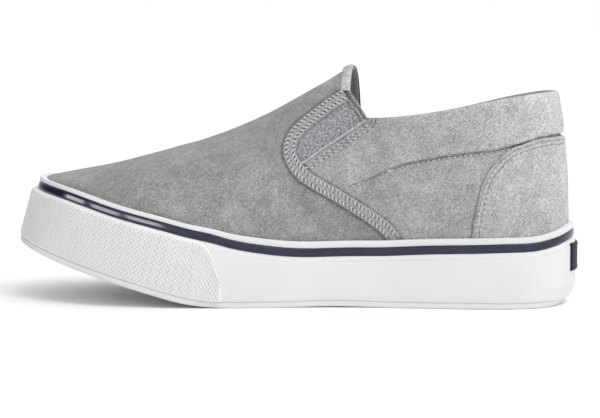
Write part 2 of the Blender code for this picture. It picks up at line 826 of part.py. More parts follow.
def make_upper(skin, cutters, finish):
    """The hollow upper: skin, lining, and the edges that join them at the sole and at the collar."""
    inner = skin.points - skin.out * skin.walls[:, None]
    for c, column in enumerate(skin.columns):
        station_row = skin.index[c, 0]
        inner[station_row][2] = skin.points[station_row][2]
    total = len(skin.points)
    points = list(skin.points) + list(inner)
    faces = list(skin.faces) + [tuple(v + total for v in f[::-1]) for f in skin.faces]
    for c in range(skin.total):
        a, b = skin.index[c, 0], skin.index[(c + 1) % skin.total, 0]
        faces.append((a, b, b + total, a + total))
    path = opening_path(skin)
    caps = []
    for v in path:
        across = (skin.points[v] - inner[v]) / 2
        ahead = skin.out[v]
        up = rim_direction(skin, v)
        caps.append(len(points))
        points.append((skin.points[v] + inner[v]) / 2 + up * np.linalg.norm(across) * 0.75 + 0 * ahead)
    for i in range(len(path)):
        j = (i + 1) % len(path)
        a, b = path[i], path[j]
        faces.append((a, b, caps[j], caps[i]))
        faces.append((caps[i], caps[j], b + total, a + total))
    upper = add_object("upper", points, faces, finish)
    for cutter in cutters:
        cut = upper.modifiers.new(cutter.name, "BOOLEAN")
        cut.operation = "DIFFERENCE"
        cut.object = cutter
    return upper


def opening_path(skin):
    """The skin's points round the opening, from the heel along the lateral side and back."""
    top = skin.wall_rows - 1
    last = top + ROWS_ON_INSTEP
    lateral = [skin.index[c, top] for c in range(skin.throat + 1)]
    rise = [skin.index[skin.throat, r] for r in range(top + 1, last + 1)]
    medial_throat = skin.total - skin.throat
    fall = [skin.index[medial_throat, r] for r in range(last - 1, top, -1)]
    medial = [skin.index[c, top] for c in range(medial_throat, skin.total)]
    return lateral + rise + fall + medial


def rim_direction(skin, vertex):
    """The way the opening's edge faces: up on the collar, back at the throat."""
    column, row = next(k for k, v in skin.index.items() if v == vertex)
    if row >= skin.wall_rows or column in (skin.throat, skin.total - skin.throat):
        back = np.array((1.0, 0.0, 0.0))
        flat = back - skin.out[vertex] * (back @ skin.out[vertex])
        return flat / np.linalg.norm(flat)
    up = np.array((0.0, 0.0, 1.0))
    flat = up - skin.out[vertex] * (up @ skin.out[vertex])
    return flat / np.linalg.norm(flat)


def side_height(size, share, medial):
    """Height of a share of a size; the medial gore and its trim sit lower at the throat."""
    drop = MEDIAL_DROP * np.clip((share - 0.5) / 0.37, 0, 1.2) if medial else 0.0
    return size * (share - drop)


def gore_rows(medial):
    """The gore's front and back edges as places along the shoe and heights, from the top down."""
    rows = np.array(GORE)
    front = side_height(INSTEP_HEIGHT, rows[:, 1], medial)
    back = side_height(HEEL_HEIGHT, rows[:, 3], medial)
    return np.stack([rows[:, 0] * LENGTH, front], 1), np.stack([rows[:, 2] * LENGTH, back], 1)


def gore_cutter(medial):
    """A prism across the upper's side, as wide as the gap that the gore fills."""
    front, back = gore_rows(medial)
    rise = np.array((-0.35, 1.0)) * 2 * TRIM_WIDTH
    reach = np.array((-1.0, 0.6)) * TRIM_WIDTH
    outline = [front[0] + rise, *front, *back[::-1], back[0] + reach]
    outer, inner = BALL_WIDTH, 0.012
    sign = 1 if medial else -1
    name = "gore_cutter_medial" if medial else "gore_cutter_lateral"
    shape = bmesh.new()
    ends = []
    for side in (inner, outer):
        places = [(LENGTH / 2 - a, sign * side, h) for a, h in outline]
        ends.append([shape.verts.new(p) for p in places])
    shape.faces.new(ends[0])
    shape.faces.new(ends[1][::-1])
    for i in range(len(outline)):
        j = (i + 1) % len(outline)
        shape.faces.new((ends[0][i], ends[0][j], ends[1][j], ends[1][i]))
    bmesh.ops.recalc_face_normals(shape, faces=shape.faces)
    mesh = bpy.data.meshes.new(name)
    shape.to_mesh(mesh)
    shape.free()
    return hidden_cutter(name, mesh)


def make_gore(skin, medial, finish):
    """The elastic panel between vamp and quarter, set into the wall."""
    name = "gore_medial" if medial else "gore_lateral"
    front, back = gore_rows(medial)
    downs = np.linspace(0, len(front) - 1, 2 * len(front) - 1)
    downs[[0, -1]] += (0.05, -0.12)
    outer, inner = [], []
    for down in downs:
        start = np.array([np.interp(down, range(len(front)), front[:, k]) for k in (0, 1)])
        end = np.array([np.interp(down, range(len(back)), back[:, k]) for k in (0, 1)])
        gap = GORE_GAP / np.linalg.norm(end - start)
        for over in np.linspace(gap, 1 - gap, 5):
            spot = start + (end - start) * over
            rounding = 4 * over * (1 - over) * max(0.0, 1 - down)
            spot[1] += (TOP_EDGE_BULGE - medial * MEDIAL_SAG) * rounding
            point, out = skin.from_side(spot[0] / LENGTH, spot[1], medial)
            outer.append(point - out * GORE_RECESS)
            inner.append(point - out * (GORE_RECESS + GORE_WALL))
    return sheet_solid(name, outer, inner, len(downs), 5, finish)


def sheet_solid(name, outer, inner, rows, columns, finish):
    """A thin body between two grids of the same size."""
    total = rows * columns
    faces = []
    for i in range(rows - 1):
        for j in range(columns - 1):
            a = i * columns + j
            quad = (a, a + 1, a + columns + 1, a + columns)
            faces.append(quad)
            faces.append(tuple(v + total for v in quad[::-1]))
    top = list(range(columns))
    right = [i * columns + columns - 1 for i in range(1, rows)]
    low = [(rows - 1) * columns + j for j in range(columns - 2, -1, -1)]
    left = [i * columns for i in range(rows - 2, 0, -1)]
    edge = top + right + low + left
    for i in range(len(edge)):
        a, b = edge[i], edge[(i + 1) % len(edge)]
        faces.append((a, a + total, b + total, b))
    return add_object(name, list(outer) + list(inner), faces, finish)


def even_path(rows, spacing):
    """Points evenly spread on a smooth curve through rows of places and heights."""
    arc = np.concatenate([[0], np.cumsum(np.linalg.norm(np.diff(rows, axis=0), axis=1))])
    fine = np.linspace(0, arc[-1], 400)
    curve = np.stack([smooth(np.stack([arc, rows[:, k]], 1), fine, 1) for k in (0, 1)], 1)
    length = np.concatenate([[0], np.cumsum(np.linalg.norm(np.diff(curve, axis=0), axis=1))])
    count = max(2, int(length[-1] / spacing))
    even = np.linspace(0, length[-1], count + 1)
    return np.stack([np.interp(even, length, curve[:, k]) for k in (0, 1)], 1)


def make_trim(skin, medial, finish):
    """The raised strip that covers the vamp's edge, from the throat round the gore to the sidewall."""
    name = "trim_medial" if medial else "trim_lateral"
    rows = np.array(TRIM)
    heights = side_height(INSTEP_HEIGHT, rows[:, 1], medial)
    path = even_path(np.stack([rows[:, 0] * LENGTH, heights], 1), TRIM_SPACING)
    ahead = np.gradient(path, axis=0)
    ahead /= np.linalg.norm(ahead, axis=1)[:, None]
    outer, inner = [], []
    overs = (-0.5, -0.25, 0.0, 0.25, 0.5)
    for centre, way in zip(path, ahead):
        point, out = skin.from_side(centre[0] / LENGTH, centre[1], medial)
        foreshortening = max(0.45, abs(out[1]))
        for over in overs:
            across = np.array((-way[1], way[0])) * over * TRIM_WIDTH
            across[1] *= foreshortening
            spot = centre + across
            floor = sidewall_height(spot[0] / LENGTH) + 2.5 * CLEARANCE
            surface, out = skin.from_side(spot[0] / LENGTH, max(spot[1], floor), medial)
            edge = 0.5 if abs(over) == 0.5 else 1.0
            outer.append(surface + out * (1.3 * CLEARANCE + TRIM_THICKNESS * edge))
            inner.append(surface + out * 1.3 * CLEARANCE)
    return sheet_solid(name, outer, inner, len(path), len(overs), finish)


def make_heel_counter(skin, finish):
    """The canvas patch round the heel, from the sidewall up to the collar's seam."""
    shares = skin.shares
    fan = [s for s in shares[: skin.throat] if s < COUNTER_EDGE[0][0] - 0.005]
    tops = [(s, HEEL_HEIGHT * float(smooth(COLLAR_SEAM, s, 1)) - 2 * CLEARANCE) for s in fan]
    tops += [(s, HEEL_HEIGHT * h) for s, h in COUNTER_EDGE]
    rows = 4
    outer, inner = [], []
    sides = [(s, t, -1) for s, t in tops[:0:-1]] + [(s, t, 1) for s, t in tops]
    for share, top, side in sides:
        position = float(np.interp(share, shares, range(len(shares)))) * side
        low = sidewall_height(share) + 2.5 * CLEARANCE
        for k in range(rows + 1):
            height = low + (top - low) * k / rows
            point, out = skin.on_column(position, height)
            outer.append(point + out * (1.2 * CLEARANCE + COUNTER_THICKNESS))
            inner.append(point + out * 1.2 * CLEARANCE)
    return sheet_solid("heel_counter", outer, inner, len(sides), rows + 1, finish)


def make_throat_facing(skin, finish):
    """The folded edge of the vamp across the instep."""
    shares = [THROAT + FACING_WIDTH / LENGTH * part for part in (0.0, 0.5, 1.0)]
    grids = {}
    for medial in (False, True):
        for share in shares:
            column = Column(share, medial)
            foot = INSTEP_HEIGHT * (FACING_FOOT - medial * MEDIAL_DROP)
            angles = np.linspace(column.angle_at(foot), math.pi / 2, ROWS_ON_INSTEP + 1)
            grids[medial, share] = [column.arch(a) for a in angles]
    lines = [grids[False, s] + grids[True, s][-2::-1] for s in shares]
    count = len(lines[0])
    outer, inner = [], []
    for line in lines:
        for point in line:
            hit, normal, _, _ = skin.tree.find_nearest(Vector(point))
            out = np.array(normal)
            out *= 1 if out[2] > 0 else -1
            outer.append(np.array(hit) + out * (1.5 * CLEARANCE + FACING_THICKNESS))
            inner.append(np.array(hit) + out * 1.5 * CLEARANCE)
    return sheet_solid("throat_facing", outer, inner, len(lines), count, finish)


def main():
    for old in list(bpy.data.objects):
        bpy.data.objects.remove(old)
    white_rubber = material("white_rubber", (0.80, 0.81, 0.81), 0.45)
    navy_rubber = material("navy_rubber", (0.045, 0.055, 0.110), 0.30)
    canvas = material("grey_canvas", (0.36, 0.36, 0.37), 0.90)
    canvas_trim = material("grey_trim", (0.40, 0.41, 0.43), 0.90)
    elastic = material("grey_elastic", (0.27, 0.27, 0.29), 0.85)
    lining = material("grey_lining", (0.50, 0.50, 0.51), 0.90)
    make_outsole(white_rubber)
    make_midsole(white_rubber)
    make_stripe(navy_rubber)
    make_top_line(white_rubber)
    make_toe_bumper(white_rubber)
    make_heel_patch(navy_rubber)
    make_insole(lining)
    skin = Skin()
    make_upper(skin, [gore_cutter(False), gore_cutter(True)], canvas)
    for medial in (False, True):
        make_gore(skin, medial, elastic)
        make_trim(skin, medial, canvas_trim)
    make_heel_counter(skin, canvas)
    make_throat_facing(skin, canvas_trim)


main()
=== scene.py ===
"""Looks of the slip-on sneaker: fine surfaces, stitching, materials, light and camera.

The functions that lay out the sole and the upper match the model's own. Sizes are in metres, tables hold
shares of the named sizes, and "along" runs from 0 at the heel to 1 at the toe.
"""

import math

import bmesh
import bpy
import numpy as np
from mathutils import Matrix, Vector
from mathutils.bvhtree import BVHTree


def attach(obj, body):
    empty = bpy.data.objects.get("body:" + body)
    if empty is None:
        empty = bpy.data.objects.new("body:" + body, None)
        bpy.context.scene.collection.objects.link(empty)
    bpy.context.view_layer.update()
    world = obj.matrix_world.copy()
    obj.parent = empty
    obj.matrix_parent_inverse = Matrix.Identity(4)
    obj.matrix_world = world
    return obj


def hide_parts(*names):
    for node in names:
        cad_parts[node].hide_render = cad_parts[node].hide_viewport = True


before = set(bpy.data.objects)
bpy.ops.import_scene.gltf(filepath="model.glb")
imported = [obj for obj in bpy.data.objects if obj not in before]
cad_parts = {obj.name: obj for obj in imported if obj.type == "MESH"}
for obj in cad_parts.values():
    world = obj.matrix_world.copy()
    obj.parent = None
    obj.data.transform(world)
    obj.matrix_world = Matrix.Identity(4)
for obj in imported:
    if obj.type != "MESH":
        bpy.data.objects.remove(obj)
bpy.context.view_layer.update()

# Overall sizes
LENGTH = 0.262
BALL_WIDTH = 0.098
SIDEWALL_HEIGHT = 0.0315
INSTEP_HEIGHT = 0.1085
HEEL_HEIGHT = 0.0962
TOE_SPRING = 0.026
WAIST_RISE = 0.0005
CLEARANCE = 0.0003

# Sole
OUTSOLE_THICKNESS = 0.0029
OUTSOLE_LIP = 0.0007
TREAD_DEPTH = 0.0012
TREAD_PITCH = 0.0088
TREAD_GROOVE = 0.0026
TREAD_ZIGZAG = 0.0270
TREAD_MARGIN = 0.0085
FLOOR_HEIGHT = 0.0170
RIM_THICKNESS = 0.0040
RING_SEAT = 0.0026
STEP_DEPTH = 0.0011
HEEL_BEVEL = 0.0052
HEEL_BEVEL_HEIGHT = 0.0095
TOP_LINE_HEIGHT = 0.0030
STRIPE_HEIGHT = 0.0038
BAND_HEIGHT = 0.0021
BUMPER_THICKNESS = 0.0010
BUMPER_REACH = 0.1110
BUMPER_TAIL = 0.0200
PATCH_WIDTH = 0.0255
PATCH_HEIGHT = 0.0128
PATCH_THICKNESS = 0.0006
PATCH_FOOT = 0.0156
INSOLE_THICKNESS = 0.0045

# Upper
UPPER_WALL = 0.0022
COLLAR_PADDING = 0.0042
COLLAR_PUFF = 0.0012
WALL_BULGE = 0.0016
GORE_RECESS = 0.0005
TRIM_WIDTH = 0.0062
TRIM_THICKNESS = 0.0009
COUNTER_THICKNESS = 0.0008
FACING_WIDTH = 0.0040
FACING_THICKNESS = 0.0008
FACING_FOOT = 0.905

# Mesh density of the upper
REAR_COLUMNS = 92
VAMP_COLUMNS = 120
ROWS_BELOW_SEAM = 42
ROWS_IN_COLLAR = 24
ROWS_ON_INSTEP = 36

# Where the collar opening starts on the instep, and where the ridge starts at the toe
THROAT = 0.393
THROAT_TOP = 0.399
COLLAR_CORNER = 0.358
RIDGE_START = 0.900
BEND = (0.590, 0.700)
FLAT_FOREFOOT = (0.520, 0.560)
FLAT_HEEL = (0.150, 0.190)
PLAIN_WAIST = (0.330, 0.470)

# Sole outline seen from above: along, across as a share of the ball width, lateral side negative
OUTLINE = (
    (0.000, 0.000), (0.016, -0.170), (0.060, -0.283), (0.150, -0.342), (0.300, -0.347), (0.430, -0.370),
    (0.560, -0.447), (0.680, -0.487), (0.780, -0.480), (0.870, -0.410), (0.940, -0.285),
    (0.985, -0.125), (1.000, 0.045), (0.985, 0.212), (0.938, 0.355), (0.862, 0.450), (0.765, 0.505),
    (0.670, 0.490), (0.560, 0.405), (0.430, 0.328), (0.300, 0.318), (0.150, 0.338), (0.060, 0.281),
    (0.016, 0.168),
)

# Sidewall height along the shoe, as a share of SIDEWALL_HEIGHT, and of the white line on top of it
SIDEWALL = (
    (0.00, 1.185, 0.90), (0.02, 1.120, 0.90), (0.05, 1.058, 0.90), (0.13, 1.025, 0.95),
    (0.25, 1.000, 1.00), (0.36, 0.955, 1.00), (0.47, 0.945, 1.00), (0.55, 1.020, 0.95),
    (0.63, 1.125, 0.75), (0.72, 1.125, 0.65), (0.82, 1.095, 0.62), (0.92, 1.080, 0.60),
    (1.00, 1.010, 0.60),
)

# Instep ridge: along, height share between the sidewall's top at the toe and INSTEP_HEIGHT, and
# distance from the centre line to the medial side as a share of the ball width
RIDGE = (
    (0.300, 1.300, 0.000), (0.400, 0.995, 0.000), (0.431, 0.900, 0.004), (0.453, 0.835, 0.008),
    (0.496, 0.713, 0.014), (0.539, 0.597, 0.020), (0.582, 0.497, 0.028), (0.626, 0.410, 0.034),
    (0.669, 0.337, 0.040), (0.757, 0.222, 0.048), (0.845, 0.112, 0.052), (0.900, 0.062, 0.052),
    (0.957, 0.024, 0.050), (1.000, 0.004, 0.048),
)

# Section of the upper: along, exponent across, exponent up, bulge as a share of WALL_BULGE
SECTION = (
    (0.00, 1.30, 1.25, 0.20), (0.12, 1.60, 1.50, 0.70), (0.25, 2.10, 2.00, 1.00),
    (0.36, 2.60, 2.50, 0.40), (0.42, 2.70, 2.65, 0.00), (0.55, 2.45, 2.30, 0.00),
    (0.70, 2.30, 2.15, 0.00), (0.85, 2.40, 2.10, 0.00), (1.00, 2.60, 2.00, 0.00),
)

# Collar edge: along, inset from the sidewall's top as a share of the ball width, height share of
# HEEL_HEIGHT on the lateral side, and how much lower the medial side is
COLLAR = (
    (0.000, 0.044, 1.000, 0.000), (0.050, 0.039, 0.992, 0.002), (0.100, 0.026, 0.976, 0.006),
    (0.160, 0.005, 0.950, 0.012), (0.220, -0.012, 0.919, 0.018), (0.280, -0.016, 0.893, 0.024),
    (0.330, -0.004, 0.884, 0.044), (0.358, 0.022, 0.884, 0.062),
)
THROAT_SIDE_HEIGHT = 0.870
MEDIAL_DROP = 0.130
TOP_EDGE_BULGE = 0.0012
MEDIAL_SAG = 0.0026
HEEL_REACH = 0.45

# Seam under the padded collar: along, height share of HEEL_HEIGHT
COLLAR_SEAM = (
    (0.000, 0.806), (0.053, 0.798), (0.094, 0.768), (0.127, 0.746), (0.195, 0.722), (0.246, 0.700),
    (0.297, 0.670), (0.330, 0.636), (0.358, 0.600), (0.400, 0.560),
)

# Front edge of the heel counter: along, height share of HEEL_HEIGHT
COUNTER_EDGE = (
    (0.090, 0.771), (0.110, 0.745), (0.130, 0.700), (0.145, 0.650), (0.156, 0.595), (0.165, 0.510),
    (0.171, 0.420), (0.174, 0.375),
)

# Trim over the vamp's edge, seen from the side: along, height share of INSTEP_HEIGHT
TRIM = (
    (0.408, 0.868), (0.424, 0.843), (0.446, 0.802), (0.471, 0.752), (0.487, 0.706), (0.492, 0.656),
    (0.485, 0.603), (0.470, 0.558), (0.445, 0.515), (0.414, 0.473), (0.381, 0.425), (0.347, 0.372),
    (0.323, 0.327), (0.309, 0.283),
)

# Elastic gore, seen from the side: its edge under the trim, as along and height share of
# INSTEP_HEIGHT, then its edge at the quarter, as along and height share of HEEL_HEIGHT
GORE = (
    (0.3950, 0.886, 0.3580, 0.880), (0.422, 0.841, 0.386, 0.829), (0.446, 0.798, 0.415, 0.776),
    (0.469, 0.748, 0.443, 0.725), (0.481, 0.700, 0.462, 0.686), (0.485, 0.640, 0.474, 0.663),
)


def smooth(table, share, column):
    """Reads a table's column at a share with a cubic that passes through each row."""
    rows = np.array(table)
    x, y = rows[:, 0], rows[:, column]
    slope = np.gradient(y, x)
    share = np.clip(share, x[0], x[-1])
    i = np.clip(np.searchsorted(x, share) - 1, 0, len(x) - 2)
    width = x[i + 1] - x[i]
    t = (share - x[i]) / width
    start = (1 + 2 * t) * (1 - t) ** 2 * y[i] + t * (1 - t) ** 2 * width * slope[i]
    return start + t * t * (3 - 2 * t) * y[i + 1] - t * t * (1 - t) * width * slope[i + 1]


def closed_curve(points, samples):
    """A smooth closed curve through the points, as evenly spread samples."""
    points = np.array(points)
    n = len(points)
    step = np.linalg.norm(np.roll(points, -1, 0) - points, axis=1) ** 0.5
    before = np.roll(step, 1)
    system = np.zeros((n, n))
    right = np.zeros((n, 2))
    for i in range(n):
        last, after = (i - 1) % n, (i + 1) % n
        system[i, last] += step[i]
        system[i, i] += 2 * (step[i] + before[i])
        system[i, after] += before[i]
        rise = (points[after] - points[i]) / step[i]
        fall = (points[i] - points[last]) / before[i]
        right[i] = 3 * (before[i] * rise + step[i] * fall)
    slope = np.linalg.solve(system, right)
    found = []
    for i in range(n):
        after = (i + 1) % n
        t = np.linspace(0, 1, samples, endpoint=False)[:, None]
        found.append(
            (1 + 2 * t) * (1 - t) ** 2 * points[i]
            + t * (1 - t) ** 2 * step[i] * slope[i]
            + t * t * (3 - 2 * t) * points[after]
            - t * t * (1 - t) * step[i] * slope[after]
        )
    return np.concatenate(found)


class Outline:
    """The sidewall's widest outline from above, as distance from the heel and distance to the side."""

    def __init__(self):
        shares = closed_curve(OUTLINE, 24)
        shares[:, 0] = (shares[:, 0] - shares[:, 0].min()) / np.ptp(shares[:, 0])
        self.points = shares * (LENGTH, BALL_WIDTH)
        ahead = np.roll(self.points, -1, 0) - np.roll(self.points, 1, 0)
        inward = np.stack([-ahead[:, 1], ahead[:, 0]], 1) * -1
        self.inward = -inward / np.linalg.norm(inward, axis=1)[:, None]
        self.toe = int(np.argmax(self.points[:, 0]))
        steps = np.linalg.norm(np.roll(self.points, -1, 0) - self.points, axis=1)
        self.arc = np.concatenate([[0], np.cumsum(steps)])

    def at_share(self, along, medial):
        """The point and inward direction at a share of the length, on one side."""
        if medial:
            order = np.r_[np.arange(len(self.points) - 1, self.toe - 1, -1)]
            order = np.r_[0, order]
        else:
            order = np.arange(self.toe + 1)
        distance = self.points[order, 0]
        place = np.clip(along, 0, 1) * LENGTH
        point = [np.interp(place, distance, self.points[order, k]) for k in (0, 1)]
        inward = [np.interp(place, distance, self.inward[order, k]) for k in (0, 1)]
        return np.array(point), np.array(inward) / np.hypot(*inward)

    def at_arc(self, start, distance):
        """The point and inward direction at a signed distance along the outline from a sample."""
        total = self.arc[-1]
        place = (self.arc[start] + distance) % total
        points = np.vstack([self.points, self.points[:1]])
        inward = np.vstack([self.inward, self.inward[:1]])
        point = [np.interp(place, self.arc, points[:, k]) for k in (0, 1)]
        turn = [np.interp(place, self.arc, inward[:, k]) for k in (0, 1)]
        return np.array(point), np.array(turn) / np.hypot(*turn)


SOLE_OUTLINE = Outline()


def bottom(distance):
    """Height and slope of the sole's underside at a distance from the heel."""
    share = distance / LENGTH
    start, stop = BEND
    steepest = TOE_SPRING / (1 - (start + stop) / 2)
    turned = min(1.0, max(0.0, (share - start) / (stop - start)))
    height = steepest * ((stop - start) * turned**2 / 2 + max(0.0, share - stop))
    slope = steepest * turned / LENGTH
    waist = (share - 0.30) / (FLAT_FOREFOOT[0] - 0.30)
    if 0 < waist < 1:
        height += WAIST_RISE * math.sin(math.pi * waist) ** 2
    return height, math.atan(slope)


def place(point, height):
    """A plan point at a height above the underside, in the shoe's frame, square to the bent sole."""
    rise, angle = bottom(point[0])
    return np.array(
        (
            LENGTH / 2 - point[0] + height * math.sin(angle),
            point[1],
            rise + height * math.cos(angle),
        )
    )


def sidewall_height(share):
    return SIDEWALL_HEIGHT * float(smooth(SIDEWALL, share, 1))


def top_line_height(share):
    return TOP_LINE_HEIGHT * float(smooth(SIDEWALL, share, 2))


def heel_bevel(share, height):
    """Extra inset that rounds the back of the heel off towards the floor."""
    near = max(0.0, 1 - share / 0.12) ** 2
    low = max(0.0, 1 - height / HEEL_BEVEL_HEIGHT) ** 1.6
    return HEEL_BEVEL * near * low


def rim(station, inset, height):
    """A point at an inset from the outline and a height above the underside."""
    point, inward = station
    share = point[0] / LENGTH
    inset = inset + heel_bevel(share, height)
    return place(point + inward * inset, height)


def share_of(station):
    return station[0][0] / LENGTH


def band_heights(share):
    """Heights of the step, the stripe's foot, the stripe's top and the sidewall's top."""
    top = sidewall_height(share)
    stripe_top = top - top_line_height(share)
    stripe_foot = stripe_top - STRIPE_HEIGHT
    return stripe_foot - BAND_HEIGHT, stripe_foot, stripe_top, top


def groove_shares():
    """Where the tread's grooves run, leaving a flat spot under the heel and under the forefoot."""
    first, last = 0.065, 0.955
    pitch = TREAD_PITCH / LENGTH
    count = int((last - first) / pitch)
    shares = [first + pitch * k for k in range(count + 1)]
    flats = (FLAT_HEEL, FLAT_FOREFOOT, PLAIN_WAIST)
    half = TREAD_GROOVE / LENGTH
    return [s for s in shares if not any(a - half < s < b + half for a, b in flats)]


def upper_inset():
    """Inset of the upper's outer face where it stands inside the sidewall."""
    return RIM_THICKNESS + CLEARANCE


def toe_top_height():
    """Height of the sidewall's top at the tip of the toe."""
    station = SOLE_OUTLINE.at_share(1.0, False)
    return rim(station, upper_inset(), sidewall_height(1.0))[2]


def ridge_point(x):
    """The instep ridge's height over a place along the shoe and its distance to the medial side."""
    share = (LENGTH / 2 - x) / LENGTH
    low = toe_top_height()
    height = low + (INSTEP_HEIGHT - low) * float(smooth(RIDGE, share, 1))
    side = BALL_WIDTH * float(smooth(RIDGE, share, 2))
    return height, side


def column_shares():
    """Shares of the length where the upper's columns stand, heel to toe, with the throat among them."""
    rear = [THROAT * (1 - math.cos(math.pi / 2 * i / REAR_COLUMNS)) for i in range(REAR_COLUMNS)]
    turns = [math.pi / 2 * j / VAMP_COLUMNS for j in range(VAMP_COLUMNS + 1)]
    vamp = [THROAT + (1 - THROAT) * math.sin(turn) for turn in turns]
    return rear + vamp


def ridge_share(along):
    """Where on the ridge the column that starts at a share of the length ends."""
    turn = math.asin(min(1.0, max(0.0, (along - THROAT) / (1 - THROAT)))) * 2 / math.pi
    return THROAT_TOP + (RIDGE_START - THROAT_TOP) * (1 - (1 - turn) ** 1.75)


class Column:
    """One column of the upper's outer face, from the sidewall up to the collar or the ridge."""

    def __init__(self, along, medial):
        self.along = along
        self.medial = medial
        self.station = SOLE_OUTLINE.at_share(along, medial)
        self.foot = rim(self.station, upper_inset(), sidewall_height(along))
        self.across = float(smooth(SECTION, along, 1))
        self.up = float(smooth(SECTION, along, 2))
        self.bulge = WALL_BULGE * float(smooth(SECTION, along, 3))
        inward = self.station[1]
        self.inward = np.array((-inward[0], inward[1], 0.0))
        end = LENGTH * (0.5 - ridge_share(along))
        height, side = ridge_point(end)
        self.ridge = np.array((end, side, height))

    def arch(self, angle):
        """A point on the arch over the instep, from 0 at the sidewall to a quarter turn at the ridge."""
        inner = 1 - math.cos(angle) ** (2 / self.across)
        rise = math.sin(angle) ** (2 / self.up)
        plan = self.foot + (self.ridge - self.foot) * inner
        height, _ = ridge_point(plan[0])
        return np.array((plan[0], plan[1], self.foot[2] + (height - self.foot[2]) * rise))

    def throat_angle(self):
        side = THROAT_SIDE_HEIGHT - self.medial * MEDIAL_DROP
        return math.asin(side ** (self.up / 2))

    def angle_at(self, height):
        """The angle where the arch passes a height."""
        rise = (height - self.foot[2]) / (self.ridge[2] - self.foot[2])
        return math.asin(rise ** (self.up / 2))

    def collar_end(self):
        """The top of a column behind the throat, on the collar's edge."""
        along = min(self.along, COLLAR_CORNER)
        inset = BALL_WIDTH * float(smooth(COLLAR, along, 1))
        height = HEEL_HEIGHT * float(smooth(COLLAR, along, 2) - self.medial * smooth(COLLAR, along, 3))
        corner = self.foot + self.inward * inset
        corner[2] = height
        if self.along > COLLAR_CORNER:
            part = (self.along - COLLAR_CORNER) / (THROAT - COLLAR_CORNER)
            corner = corner + (self.arch(self.throat_angle()) - corner) * part
            corner[2] += 4 * part * (1 - part) * (TOP_EDGE_BULGE - self.medial * MEDIAL_SAG)
        return corner

    def seam_share(self):
        """Height share of the seam under the padded collar, on a wall column."""
        seam = HEEL_HEIGHT * float(smooth(COLLAR_SEAM, self.along, 1))
        return (seam - self.foot[2]) / (self.collar_end()[2] - self.foot[2])

    def wall(self, share):
        """A point on the wall behind the throat, at a share of the height up to the collar."""
        reach = HEEL_REACH + (THROAT_SIDE_HEIGHT - HEEL_REACH) * self.along / THROAT
        lean = 1 - (1 - (reach * share) ** self.up) ** (1 / self.across)
        lean /= 1 - (1 - reach**self.up) ** (1 / self.across)
        end = self.collar_end()
        point = self.foot + (end - self.foot) * lean
        point[2] = self.foot[2] + (end[2] - self.foot[2]) * share
        outward = self.bulge * math.sin(math.pi * min(1.0, share)) + self.puff(share)
        return point - self.inward * outward

    def padded(self):
        """How much of the collar's padding is left here: all of it at the heel, none at the gore."""
        return float(np.clip((COLLAR_CORNER + 0.01 - self.along) / 0.09, 0, 1))

    def collar_share(self, share):
        seam = self.seam_share()
        return min(1.0, max(0.0, (share - seam) / (1 - seam)))

    def puff(self, share):
        return COLLAR_PUFF * self.padded() * math.sin(math.pi * self.collar_share(share) ** 0.6)

    def rows(self):
        """The column's points from the feather edge up, each with the wall's thickness there."""
        low = FLOOR_HEIGHT + CLEARANCE
        found = [(rim(self.station, upper_inset(), low), UPPER_WALL), (self.foot, UPPER_WALL)]
        if self.along <= THROAT:
            seam = self.seam_share()
            low = [seam * (1 - (1 - k / ROWS_BELOW_SEAM) ** 1.5) for k in range(1, ROWS_BELOW_SEAM + 1)]
            parts = [(k / ROWS_IN_COLLAR) ** 1.3 for k in range(1, ROWS_IN_COLLAR + 1)]
            shares = low + [seam + (1 - seam) * part for part in parts]
            for share in shares:
                fill = math.sin(math.pi * 0.88 * self.collar_share(share)) ** 0.7 if share > seam else 0
                found.append((self.wall(share), UPPER_WALL + COLLAR_PADDING * self.padded() * fill))
        throat = self.throat_angle()
        if self.along > THROAT:
            low_angle = math.radians(12 + 14 * min(1.0, (self.along - THROAT) / 0.25))
            angles = [low_angle * k / ROWS_BELOW_SEAM for k in range(1, ROWS_BELOW_SEAM + 1)]
            angles += list(np.linspace(low_angle, throat, ROWS_IN_COLLAR + 1)[1:])
            found += [(self.arch(a), UPPER_WALL) for a in angles]
        if self.along >= THROAT:
            angles = np.linspace(throat, math.pi / 2, ROWS_ON_INSTEP + 1)[1:]
            found += [(self.arch(a), UPPER_WALL) for a in angles]
        return found


